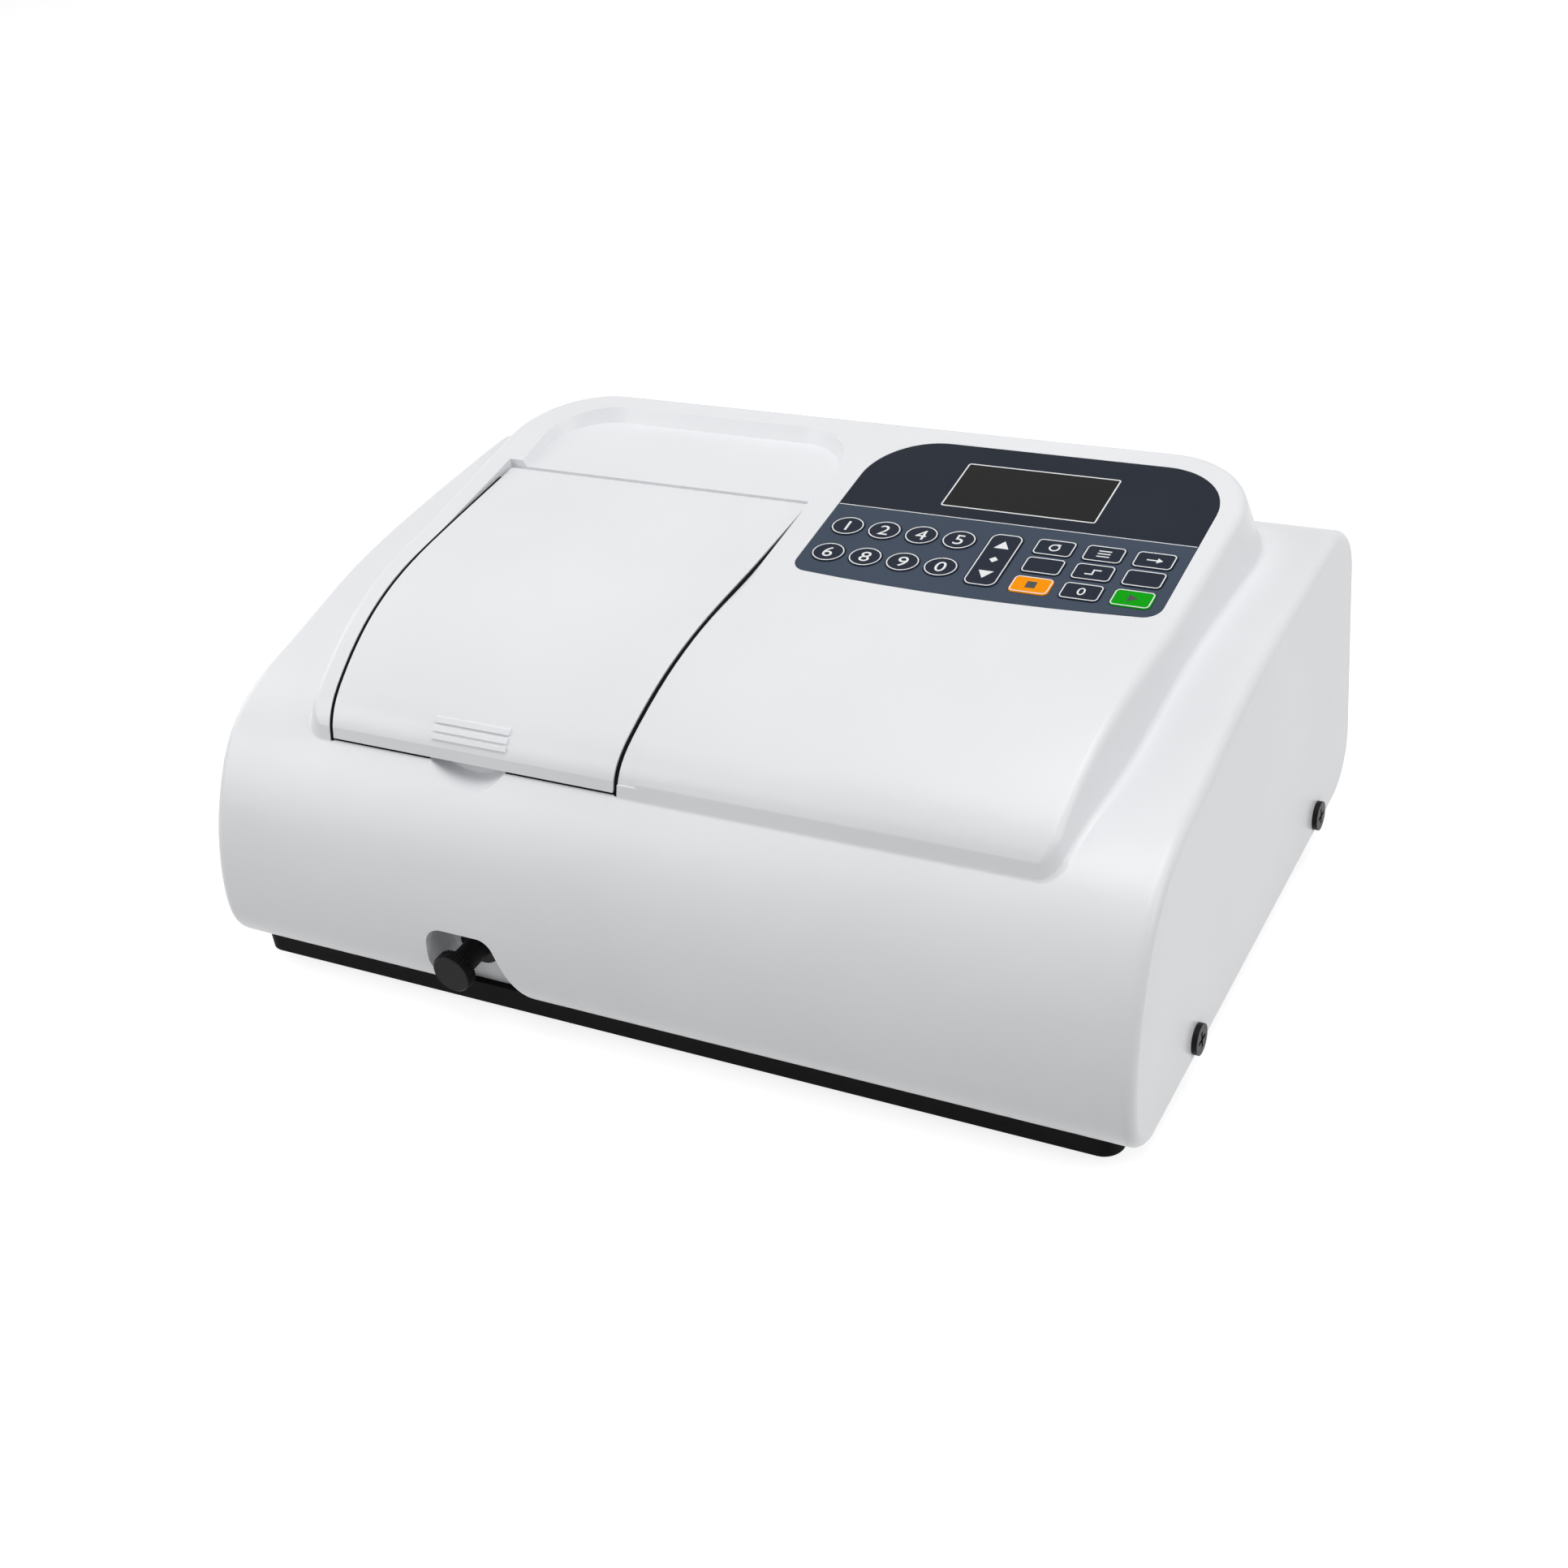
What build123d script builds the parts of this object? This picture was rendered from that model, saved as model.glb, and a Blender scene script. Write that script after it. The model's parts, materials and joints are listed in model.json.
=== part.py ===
from build123d import *
from math import cos, radians, sin, tan
import os

# Bench spectrophotometer with a curved moulded cover, a hinged lid over the
# sample chamber, a sloping control panel and a pull rod for the cell carriage.
# Millimetres. +X to the right, +Y to the rear, +Z up. The origin is on the
# bench, under the middle of the instrument.

# Outer cover
cover_width = 460.0
cover_front = -150.5
cover_rear = 156.0
cover_crest = 161.0
foot_height = 6.0
base_height = 11.5
wall = 3.0
side_edge_round = 5.0
rear_corner_round = 28.0
cover_bottom = foot_height + base_height
half_width = cover_width / 2

# Raised console on top of the cover
console_middle = 2.0
console_half_front = 185.5
console_half_middle = 204.5
console_half_rear = 215.0
console_straight_y = -10.0
console_front = -114.5
console_level = 126.0
console_root = 8.0
console_height = 72.0
console_lean = 16.0
console_front_corner = 12.0
console_rear_corner = 62.0
console_edge_round = 4.0
valley_round = 3.0
panel_start_y = 14.0
panel_start_z = 174.3
panel_tilt = 7.5
lid_tilt = 4.0

# Lid over the sample chamber
lid_middle = -92.1
lid_half_front = 75.6
lid_half_rear = 84.65
lid_straight_y = 21.2
lid_gap = 2.0
lid_wall = 3.0
lid_skirt = 5.7
lid_seat_depth = 6.6
lid_seat_thick = 2.5
lid_seat_width = 6.0
lid_front_gap = 1.4
hinge_y = 67.0
barrel_radius = 2.4
barrel_gap = 0.4
hinge_pin_radius = 1.0
hinge_pin_length = 14.0
running_gap = 0.05
rib_count = 3
rib_length = 40.0
rib_height = 1.7
rib_pitch = 2.9
rib_rise = 0.8
rib_level = 10.8
lid_side_wall = 2.2
gasket_fit = 0.1
gasket_width = 5.5
gasket_rib = 1.55
gasket_rib_drop = 0.5
gasket_strip = 1.1
gasket_strip_set_back = 0.8
gasket_rear_gap = 8.5
tray_rear = 121.5
tray_left = -171.0
tray_right = -5.0
tray_corner = 30.0
tray_lean = 27.0
scoop_radius = 30.0
scoop_half_width = 21.5
scoop_back = 7.5
scoop_shift = -1.2

# Soft step in the cover to the right of the lid
step_drop = 0.7
step_low = 131.0
step_line = ((-5.6, 62.0), (-3.2, 36.0), (-2.8, 6.0), (-2.8, -33.0), (-4.5, -84.0), (-4.8, -118.0))

# Recess for the pull knob in the nose of the cover
recess_left = -109.5
recess_right_top = -74.0
recess_foot = -53.0
recess_top = 58.0
recess_depth = 20.0
recess_round = 9.0

# Pull rod, knob and cell carriage
rod_x = -93.9
rod_z = 39.1
rod_radius = 6.0
knob_radius = 10.0
knob_thick = 5.5
knob_edge = 0.8
knob_face = -156.0
knob_teeth = 40
knurl_depth = 0.6
bush_radius = 10.5
bush_flange = 1.5
bush_wall = 2.5
bush_length = 8.0
slot_pitch = 16.0
slot_count = 4
slot_size = 12.6
rod_travel = slot_pitch * (slot_count - 1)

# Control panel
panel_middle = 97.5
panel_width = 175.0
panel_front_y = 14.0
panel_rear_y = 124.0
panel_thick = 1.0
panel_front_corner = 8.0
panel_rear_corner = 33.0
panel_bow = 4.0
panel_ledge = 3.5
key_gap = 0.25
key_travel = 0.4
key_rise = 0.5
key_cap_depth = 3.2
key_edge = 0.3
key_stem_radius = 2.5
key_stem_gap = 0.15
board_drop = 3.0
board_thick = 1.6
round_key_width = 16.2
round_key_height = 14.2
round_key_first_x = 22.6
round_key_pitch = 18.7
round_key_rows = (49.7, 28.6)
bar_key_width = 18.6
bar_key_height = 12.0
bar_key_round = 2.6
bar_key_first_x = 123.7
bar_key_pitch = 23.25
bar_key_rows = (52.6, 38.8, 24.4)
rocker_x = 100.2
rocker_y = 38.6
rocker_width = 16.0
rocker_height = 39.5
rocker_round = 4.5
screen_x = 96.4
screen_y = 92.2
screen_width = 74.5
screen_height = 34.0
screen_gap = 0.1
module_depth = 9.0
module_border = 6.0
glass_border = 2.0

# Base and fasteners
base_left = -228.0
base_right = 216.0
base_front = -134.0
base_rear = 150.0
base_wall = 3.0
base_corner = 9.0
base_flange_height = 45.0
foot_radius = 12.0
foot_x = 190.0
foot_y = 112.0
side_screw_y = (-75.7, 98.1)
side_screw_z = 28.9
side_screw_radius = 2.0
side_screw_head = 7.0
side_screw_rise = 2.5
plate_thick = 2.5
plate_half_width = 206.0
plate_front = -112.0
plate_rear = 124.0

# Sample chamber, sunk into the opening under the lid
chamber_x = (-157.0, -22.0)
chamber_y = (-104.0, 53.0)
chamber_wall = 3.0
chamber_flange_gap = 0.3
chamber_flange = 2.0
window_radius = 7.0
window_thick = 2.0
carriage_width = 28.0
carriage_margin = 11.0
carriage_rear_gap = 9.0
carriage_low = 25.0
carriage_high = 76.0
slot_floor = 33.0
beam_radius = 4.0
rail_radius = 2.5
rail_spread = 9.5
rail_z = 29.0
beam_z = 47.0
rod_hole_gap = 0.4
chamber_edge = 1.0

# Monochromator, with its grating turned by a screw and nut
mono_x = (-14.0, 104.0)
mono_y = (-62.0, 108.0)
mono_height = 72.0
mono_wall = 5.0
mono_lid = 3.0
grating_x = 30.0
grating_y = 45.0
grating_arm = 40.0
grating_size = 30.0
grating_thick = 7.0
table_radius = 18.0
table_thick = 6.0
table_gap = 1.0
arm_width = 8.0
arm_pin_radius = 3.0
arm_pin_gap = 0.3
screw_x = 88.0
screw_z = 62.0
screw_radius = 4.0
journal_radius = 2.5
journal_depth = 2.5
coupling_radius = 9.0
coupling_length = 14.0
coupling_gap = 2.0
nut_width = 18.0
nut_length = 14.0
finger_length = 6.0
motor_size = 42.0
motor_length = 34.0
motor_corner = 4.0
slit_y = 82.0
mirror_x = (10.0, 54.0)
mirror_radius = 16.0
mirror_thick = 7.0
mirror_curve = 60.0
mirror_back_gap = 3.0

# Lamps, filter wheel, power supply and boards
lamp_box_x = (122.0, 205.0)
lamp_box_y = (36.0, 122.0)
lamp_box_height = 95.0
sheet = 2.0
halogen_place = (148.0, 100.0)
halogen_radius = 5.0
halogen_length = 22.0
deuterium_place = (178.0, 68.0)
deuterium_radius = 15.0
deuterium_length = 60.0
lamp_vents = 5
wheel_radius = 24.0
wheel_thick = 3.0
wheel_gap = 3.0
wheel_y = 65.0
filter_circle = 17.0
filter_radius = 5.0
filter_count = 6
wheel_shaft_radius = 1.5
filter_motor_radius = 11.0
detector_width = 32.0
detector_length = 56.0
detector_height = 62.0
detector_gap = 0.3
detector_tube = 10.0
supply_x = (120.0, 205.0)
supply_y = (-105.0, 20.0)
supply_height = 55.0
supply_vents = 9
board_x = (-12.0, 108.0)
board_y = (-108.0, -66.0)
board_post = 6.0
chip_count = 4

# Rear panel and its fittings
rear_panel_x = (-112.0, 214.0)
rear_panel_z = (44.0, 126.0)
rear_panel_lap = 5.0
fan_x = 176.0
fan_z = 86.0
fan_size = 60.0
fan_depth = 15.0
fan_blades = 7
fan_ring = 5.0
fan_hub = 12.0
fan_pin_radius = 1.5
socket_z = 72.0
inlet_x = -60.0
inlet_width = 27.0
inlet_height = 20.0
inlet_flange = (32.0, 26.0, 2.0)
inlet_depth = 22.0
inlet_mouth = (23.0, 15.6, 14.0)
switch_x = -94.0
switch_width = 13.6
switch_height = 20.0
switch_flange = (18.0, 25.0, 1.2)
switch_depth = 16.0
switch_mouth = (10.4, 18.0, 9.0)
rocker_cap = (9.8, 16.4)
port_x = -14.0
port_width = 23.6
port_height = 11.0
port_flange = (31.0, 13.0, 1.0)
port_depth = 12.0
port_mouth = (17.0, 8.0, 5.0)
socket_gap = 0.2


# Points along a curve that runs beside another one
curve_steps = 24


def nose_curve():
    """Points of the cover's nose and rising top, from its bottom to its crest."""
    return [
        (cover_front + 22.5, cover_bottom),
        (cover_front + 2.1, cover_bottom + 14.1),
        (cover_front, cover_bottom + 32.5),
        (cover_front + 7.3, cover_bottom + 64.5),
        (cover_front + 18.1, cover_bottom + 86.7),
        (cover_front + 31.6, cover_bottom + 104.0),
        (cover_front + 50.9, cover_bottom + 116.3),
        (cover_front + 83.1, cover_bottom + 124.3),
        (cover_front + 137.5, cover_bottom + 135.5),
        (cover_front + 201.1, cover_bottom + 141.3),
        (cover_front + 278.0, cover_crest),
    ]


def smooth_curve(points, start, end, shift):
    """Spline through the points, or the curve beside it at a distance to its right."""
    curve = Spline(*points, tangents=(start, end), tangent_scalars=(1, 1), mode=Mode.PRIVATE)
    if shift:
        steps = [n / curve_steps for n in range(curve_steps + 1)]
        points = [curve @ t + Vector((curve % t).Y, -(curve % t).X) * shift for t in steps]
    return Spline(*points, tangents=(start, end), tangent_scalars=(1, 1))


def wing_block(inset):
    """Low outer body of the cover as a solid, drawn in by the inset."""
    rear = cover_rear - inset
    with BuildPart() as block:
        with BuildSketch(Plane.YZ.offset(inset - half_width)) as outline:
            with BuildLine():
                nose = smooth_curve(nose_curve(), (-1, 0), (1, 0.01), inset)
                Polyline(nose @ 1, (rear, cover_crest - inset), (rear, cover_bottom + inset), nose @ 0)
            make_face()
            fillet(outline.vertices().group_by(Axis.X)[-1], rear_corner_round - inset)
        extrude(amount=cover_width - 2 * inset)
    return block.part


def under_surface(tilt, drop):
    """Everything under the console's top surface, lowered by the drop."""
    far = cover_rear + 16
    near = console_front - 12 + drop
    low = console_level - 60
    slope = radians(tilt)
    with BuildPart() as block:
        with BuildSketch(Plane.YZ.offset(-half_width)):
            with BuildLine():
                points = [
                    (console_front + 1.3, console_level + 5),
                    (console_front + 8.5, console_level + 15.5),
                    (console_front + 18.5, console_level + 22.5),
                    (console_front + 47.5, console_level + 36.2),
                    (console_front + 86.5, console_level + 45),
                    (panel_start_y, panel_start_z),
                ]
                rise = smooth_curve(points, (0.35, 1), (cos(slope), sin(slope)), drop)
                rear = (far, (rise @ 1).Y + (far - (rise @ 1).X) * tan(slope))
                Polyline(rise @ 1, rear, (far, low), (near, low), (near, console_level - 12 - drop), rise @ 0)
            make_face()
        extrude(amount=cover_width)
    return block.part


def ends_along_x(corners):
    """The leftmost and the rightmost of some corners."""
    in_order = corners.sort_by(Axis.X)
    return [in_order[0], in_order[-1]]


def console_prism(inset):
    """Leaning sides of the console, drawn in by the inset, with no top yet."""
    spread = console_root * tan(radians(console_lean)) - inset
    front = console_front - spread
    rear = cover_rear + spread
    half_rear = console_half_rear + spread
    with BuildPart() as block:
        with BuildSketch(Plane.XY.offset(console_level - console_root)) as plan:
            with BuildLine():
                bend = (console_half_middle + spread, console_straight_y)
                corner = (console_half_front + spread, front)
                slope = (bend[0] - half_rear, bend[1] - rear)
                bow = TangentArc(bend, corner, tangent=slope, mode=Mode.PRIVATE)
                ThreePointArc(corner, bow @ 0.5, bend)
                Polyline(bend, (half_rear, rear), (0, rear), (0, front), corner)
            make_face()
            mirror(about=Plane.YZ)
            rear_corners = plan.vertices().group_by(Axis.Y)[-1]
            fillet(ends_along_x(rear_corners), console_rear_corner + spread)
            front_corners = plan.vertices().group_by(Axis.Y)[0]
            fillet(ends_along_x(front_corners), console_front_corner + spread)
        extrude(amount=console_root + console_height, taper=console_lean)
    return Pos(console_middle, 0, 0) * block.part


def console_block(inset, tilt, drop):
    """Console up to its top surface, kept ahead of the rear face of the cover."""
    with BuildPart() as block:
        add(console_prism(inset))
        add(under_surface(tilt, drop), mode=Mode.INTERSECT)
        with BuildSketch(Plane.XZ.offset(-cover_rear + inset)):
            Rectangle(3 * cover_width, 3 * cover_width)
        extrude(amount=-40, mode=Mode.SUBTRACT)
    return block.part


def rounded_console():
    """Console with its top edge rounded, ready to stand on the cover."""
    with BuildPart() as console:
        add(console_block(0, panel_tilt, 0))
        tops = console.faces().filter_by(lambda face: face.normal_at().Z > 0.4)
        edges = tops.edges()
        rims = [edge for edge in edges if sum(1 for other in edges if other.is_same(edge)) == 1]
        fillet(rims, console_edge_round)
    return console.part


def lid_prism(inset, front, rear):
    """Upright block with the lid's outline, drawn in by the inset, between two y values."""
    with BuildPart() as block:
        with BuildSketch(Plane.XY.offset(console_level - 80)):
            with BuildLine():
                bend = (lid_half_rear - inset, lid_straight_y)
                corner = (lid_half_front - inset, console_front)
                bow = TangentArc(bend, corner, tangent=(0, -1), mode=Mode.PRIVATE)
                ThreePointArc(corner, bow @ 0.5, bend)
                far_front = console_front - 12
                far_rear = hinge_y + 20
                Polyline(
                    bend, (bend[0], far_rear), (0, far_rear), (0, far_front), (corner[0], far_front), corner,
                )
            make_face()
            mirror(about=Plane.YZ)
        extrude(amount=160)
        with Locations((0, front - 200, console_level)):
            Box(400, 400, 400, mode=Mode.SUBTRACT)
        with Locations((0, rear + 200, console_level)):
            Box(400, 400, 400, mode=Mode.SUBTRACT)
    return Pos(lid_middle, 0, 0) * block.part


def lowered_band():
    """Air above the lowered band of the console to the right of the lid."""
    with BuildPart() as block:
        with BuildSketch(Plane.XY.offset(step_low)):
            with BuildLine():
                fold = Spline(*step_line)
                inner = lid_middle + lid_half_front
                Polyline(fold @ 1, (inner, (fold @ 1).Y), (inner, (fold @ 0).Y), fold @ 0)
            make_face()
        extrude(amount=console_height)
    return block.part - under_surface(panel_tilt, step_drop)


def tray_prism(grow):
    """Well of the tray behind the lid, with walls that lean outward."""
    low = lid_surface_z(hinge_y) - 8
    slack = (lid_surface_z(tray_rear) - low) * tan(radians(tray_lean)) - grow
    with BuildPart() as block:
        with BuildSketch(Plane.XY.offset(low)) as plan:
            width = tray_right - tray_left - 2 * slack
            length = tray_rear - slack - hinge_y
            with Locations(((tray_left + tray_right) / 2, hinge_y + length / 2)):
                Rectangle(width, length)
            fillet(plan.vertices().group_by(Axis.Y)[-1], tray_corner - slack)
            with Locations(((tray_left + tray_right) / 2, hinge_y - 20)):
                Rectangle(width, 40)
        extrude(amount=30, taper=-tray_lean)
        with Locations((tray_left, hinge_y - 100, low)):
            Box(600, 200, 200, mode=Mode.SUBTRACT)
    return block.part


def lid_surface_z(y):
    """Height of the lid's surface behind the front bend."""
    return panel_start_z + (y - panel_start_y) * tan(radians(lid_tilt))


def recess_block(grow, back):
    """Arched block that hollows the nose of the cover round the pull knob."""
    with BuildPart() as block:
        with BuildSketch(Plane.XZ.offset(-back)) as arch:
            with BuildLine():
                foot = cover_bottom - 1
                points = [
                    (recess_right_top, recess_top + grow),
                    (recess_right_top + 7.5, recess_top - 18),
                    (recess_right_top + 13.5, recess_top - 30),
                    (recess_foot, foot),
                ]
                flare = smooth_curve(points, (0.35, -1), (1, -0.9), -grow)
                left = recess_left - grow
                Polyline(
                    flare @ 1, ((flare @ 1).X, foot - 8), (left + 5, foot - 8), (left, foot + 23),
                    (left + 1, (flare @ 0).Y), flare @ 0,
                )
            make_face()
            fillet(arch.vertices().group_by(Axis.Y)[-1], recess_round)
        extrude(amount=40)
    return block.part


def scoop_ball(grow):
    """Ball that hollows a finger scoop in the cover, under the front of the lid."""
    slope = radians(37)
    centre_y = console_front + 1 + scoop_back * cos(slope)
    centre_z = console_level + scoop_back * sin(slope)
    lift = (scoop_radius ** 2 - scoop_half_width ** 2) ** 0.5
    with BuildPart() as ball:
        centre_x = lid_middle + scoop_shift
        with Locations((centre_x, centre_y - lift * sin(slope), centre_z + lift * cos(slope))):
            Sphere(scoop_radius + grow)
        with Locations((lid_middle, console_front + 106 + grow, console_level)):
            Box(200, 200, 200, mode=Mode.SUBTRACT)
    return ball.part


def grip_rib(level):
    """One finger rib across the steep front of the lid, at a given height."""
    place = Pos(lid_middle, console_front + 8.5, level)
    slab = place * Box(rib_length, 23, rib_height, mode=Mode.PRIVATE)
    return slab & under_surface(lid_tilt, -rib_rise) - under_surface(lid_tilt, 1)


def panel_point(x, y):
    """Place on the sloping panel, in its own plane, of a point given by x and y."""
    return (x - panel_middle, (y - panel_centre_y) / cos(radians(panel_tilt)))


def span_box(x, y, z, mode=Mode.ADD):
    """Box between two x, two y and two z values, in the part being built."""
    with Locations(((x[0] + x[1]) / 2, (y[0] + y[1]) / 2, (z[0] + z[1]) / 2)):
        Box(x[1] - x[0], y[1] - y[0], z[1] - z[0], mode=mode)


def rear_box(x, width, height, start, end, mode=Mode.ADD):
    """Box on the sockets' line, between two distances behind the rear panel's outer face."""
    span_box(
        (x - width / 2, x + width / 2), (panel_back + start, panel_back + end),
        (socket_z - height / 2, socket_z + height / 2), mode,
    )


def bar(start, direction, radius, length, mode=Mode.ADD):
    """Round bar from a start point along a direction, in the part being built."""
    with Locations(Plane(start, z_dir=direction)):
        Cylinder(radius, length, align=(Align.CENTER, Align.CENTER, Align.MIN), mode=mode)


# Values worked out from the dimensions above
panel_centre_y = (panel_front_y + panel_rear_y) / 2
panel_centre_z = panel_start_z + (panel_centre_y - panel_start_y) * tan(radians(panel_tilt))
panel_plane = Plane(
    (panel_middle, panel_centre_y, panel_centre_z),
    x_dir=(1, 0, 0),
    z_dir=(0, -sin(radians(panel_tilt)), cos(radians(panel_tilt))),
)
panel_half_height = (panel_rear_y - panel_front_y) / 2 / cos(radians(panel_tilt))
hinge_z = lid_surface_z(hinge_y) - barrel_radius / cos(radians(lid_tilt))
lid_end = lid_half_rear
collar_wall = 2.5
recess_back = cover_front + recess_depth
plate_top = cover_bottom + plate_thick
beam_y = chamber_y[1] - chamber_wall - carriage_rear_gap - carriage_margin - rod_travel
carriage_rear = chamber_y[1] - chamber_wall - carriage_rear_gap
carriage_length = rod_travel + 2 * carriage_margin
carriage_front = carriage_rear - carriage_length
far_front = console_front - 30
seat_low = lid_seat_depth + lid_seat_thick
panel_back = cover_rear - wall
X_AXIS = (1, 0, 0)
Y_AXIS = (0, 1, 0)
Z_AXIS = (0, 0, 1)
pieces = {}


def panel_outline(grow):
    """Outline of the overlay: round shoulders at the rear and a bowed front edge."""
    with BuildSketch() as outline:
        with BuildLine():
            half = panel_width / 2
            low = -panel_half_height
            ThreePointArc((-half, low), (0, low - panel_bow), (half, low))
            Polyline((half, low), (half, -low), (-half, -low), (-half, low))
        make_face()
        fillet(outline.vertices().group_by(Axis.Y)[-1], panel_rear_corner)
        fillet(outline.vertices().group_by(Axis.Y)[0], panel_front_corner)
        if grow:
            offset(amount=grow)
    return outline.sketch


def round_key_places():
    """Panel places of the digit keys, in two rows of four."""
    return [
        panel_point(round_key_first_x + column * round_key_pitch, y)
        for y in round_key_rows
        for column in range(4)
    ]


def bar_key_places():
    """Panel places of the nine function keys, in three rows."""
    return [
        panel_point(bar_key_first_x + column * bar_key_pitch, y)
        for y in bar_key_rows
        for column in range(3)
    ]


def key_shape(kind, grow):
    """Outline of one key, or of the hole round it when grown by the gap."""
    with BuildSketch() as shape:
        if kind == "round":
            Ellipse(round_key_width / 2 + grow, round_key_height / 2 + grow)
        elif kind == "bar":
            RectangleRounded(bar_key_width + 2 * grow, bar_key_height + 2 * grow, bar_key_round + grow)
        else:
            RectangleRounded(rocker_width + 2 * grow, rocker_height + 2 * grow, rocker_round + grow)
    return shape.sketch


# Outside of the cover, with the valley between console and wing rounded
with BuildPart() as outside:
    add(wing_block(0))
    side_edges = outside.edges().filter_by(lambda edge: abs(edge.center().X) > half_width - 0.01)
    fillet(side_edges, side_edge_round)
    add(rounded_console())

rounded_until = cover_rear - rear_corner_round - 4
wing_skin = wing_block(0)
with BuildPart() as outside_front:
    add(outside.part)
    split(bisect_by=Plane.XZ.offset(-rounded_until), keep=Keep.TOP)
    valley = outside_front.edges().filter_by(
        lambda edge: abs(edge.center().X) < half_width - 2 * side_edge_round
        and console_level - 2 < edge.center().Z and edge.center().Y < rounded_until - 0.5
        and wing_skin.distance_to(edge @ 0.5) < 0.01
    )
    fillet(valley, valley_round)
with BuildPart() as outside_rear:
    add(outside.part)
    split(bisect_by=Plane.XZ.offset(-rounded_until), keep=Keep.BOTTOM)

# Housing cover: one moulded shell with the console, lid seat, tray and recess
with BuildPart() as housing_cover:
    add(outside_front.part)
    add(outside_rear.part)
    add(wing_block(wall), mode=Mode.SUBTRACT)
    add(console_block(wall, panel_tilt, wall), mode=Mode.SUBTRACT)
    add(lid_prism(-lid_gap - collar_wall, far_front, hinge_y + 6) & console_block(0.6, panel_tilt, 0.6)
        - console_block(seat_low, lid_tilt, seat_low))
    add(tray_prism(wall) & console_block(0.6, panel_tilt, 0.6) - under_surface(lid_tilt, wall))
    add(tray_prism(0) - under_surface(lid_tilt, 0), mode=Mode.SUBTRACT)
    add(lid_prism(-lid_gap, far_front, hinge_y + barrel_radius + barrel_gap)
        - console_block(lid_seat_depth, lid_tilt, lid_seat_depth) - wing_block(0), mode=Mode.SUBTRACT)
    add(lid_prism(lid_seat_width, console_front + seat_low, hinge_y), mode=Mode.SUBTRACT)
    bar((lid_middle - lid_end - lid_gap, hinge_y, hinge_z), X_AXIS, barrel_radius + barrel_gap,
        2 * (lid_end + lid_gap), Mode.SUBTRACT)
    bar((lid_middle - lid_end - lid_gap - collar_wall, hinge_y, hinge_z), X_AXIS, hinge_pin_radius,
        2 * (lid_end + lid_gap + collar_wall), Mode.SUBTRACT)
    span_box(
        (lid_middle - lid_end - lid_gap, lid_middle + lid_end + lid_gap),
        (hinge_y - 8, hinge_y + barrel_radius + barrel_gap),
        (hinge_z - 24, hinge_z - 2), Mode.SUBTRACT,
    )
    add(lowered_band(), mode=Mode.SUBTRACT)
    add(scoop_ball(collar_wall) & wing_block(0))
    add(scoop_ball(0), mode=Mode.SUBTRACT)
    add(recess_block(collar_wall, recess_back + collar_wall) & wing_block(0))
    add(recess_block(0, recess_back), mode=Mode.SUBTRACT)
    bar((rod_x, recess_back - 1, rod_z), Y_AXIS, rod_radius + bush_wall, collar_wall + 2, Mode.SUBTRACT)
    with BuildSketch(panel_plane.offset(-panel_thick)):
        add(panel_outline(key_gap))
    extrude(amount=10, mode=Mode.SUBTRACT)
    with BuildSketch(panel_plane.offset(-10)):
        add(panel_outline(-panel_ledge))
    extrude(amount=12, mode=Mode.SUBTRACT)
    with BuildSketch(Plane.XY.offset(cover_bottom - 1)):
        with Locations((0, 3)):
            Rectangle(cover_width - 2 * wall, cover_rear - cover_front - 54)
    extrude(amount=wall + 2, mode=Mode.SUBTRACT)
    span_box(
        (rear_panel_x[0] + rear_panel_lap, rear_panel_x[1] - rear_panel_lap),
        (cover_rear - wall - 1, cover_rear + 1),
        (rear_panel_z[0] + rear_panel_lap, rear_panel_z[1] - rear_panel_lap), Mode.SUBTRACT,
    )
    for y in side_screw_y:
        bar((-half_width - 1, y, side_screw_z), X_AXIS, side_screw_radius + 0.2, cover_width + 2,
            Mode.SUBTRACT)
pieces["housing_cover"] = housing_cover

# Base: shallow black tray with a rolled plate and two side flanges for the screws
with BuildPart() as base_pan:
    with BuildSketch(Plane.XY.offset(foot_height)):
        with Locations(((base_left + base_right) / 2, (base_front + base_rear) / 2)):
            RectangleRounded(base_right - base_left, base_rear - base_front, base_corner)
    extrude(amount=base_height)
    with BuildSketch(Plane.XY.offset(foot_height)):
        with Locations(((base_left + base_right) / 2, (base_front + base_rear) / 2)):
            RectangleRounded(
                base_right - base_left - 2 * base_wall, base_rear - base_front - 2 * base_wall,
                base_corner - base_wall,
            )
    extrude(amount=base_height - base_wall, mode=Mode.SUBTRACT)
    for side in (-1, 1):
        inner = half_width - wall - 0.3
        with Locations((side * (inner - 6), 0, cover_bottom - 1.25)):
            Box(12, 220, 2.5)
        with Locations((side * (inner - 1.25), 0, cover_bottom + base_flange_height / 2 - 1.25)):
            Box(2.5, 220, base_flange_height + 2.5)
        for y in side_screw_y:
            bar((side * (inner + 1), y, side_screw_z), (-side, 0, 0), side_screw_radius + running_gap, 5,
                Mode.SUBTRACT)
    for x in (-foot_x, foot_x):
        for y in (-foot_y, foot_y):
            bar((x, y, foot_height), Z_AXIS, foot_radius, base_height - base_wall)
pieces["base_pan"] = base_pan

with BuildPart() as rubber_feet:
    with BuildSketch():
        with GridLocations(2 * foot_x, 2 * foot_y, 2, 2):
            Circle(foot_radius)
    extrude(amount=foot_height)
    chamfer(rubber_feet.edges().group_by(Axis.Z)[0], 1)
pieces["rubber_feet"] = rubber_feet

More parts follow.
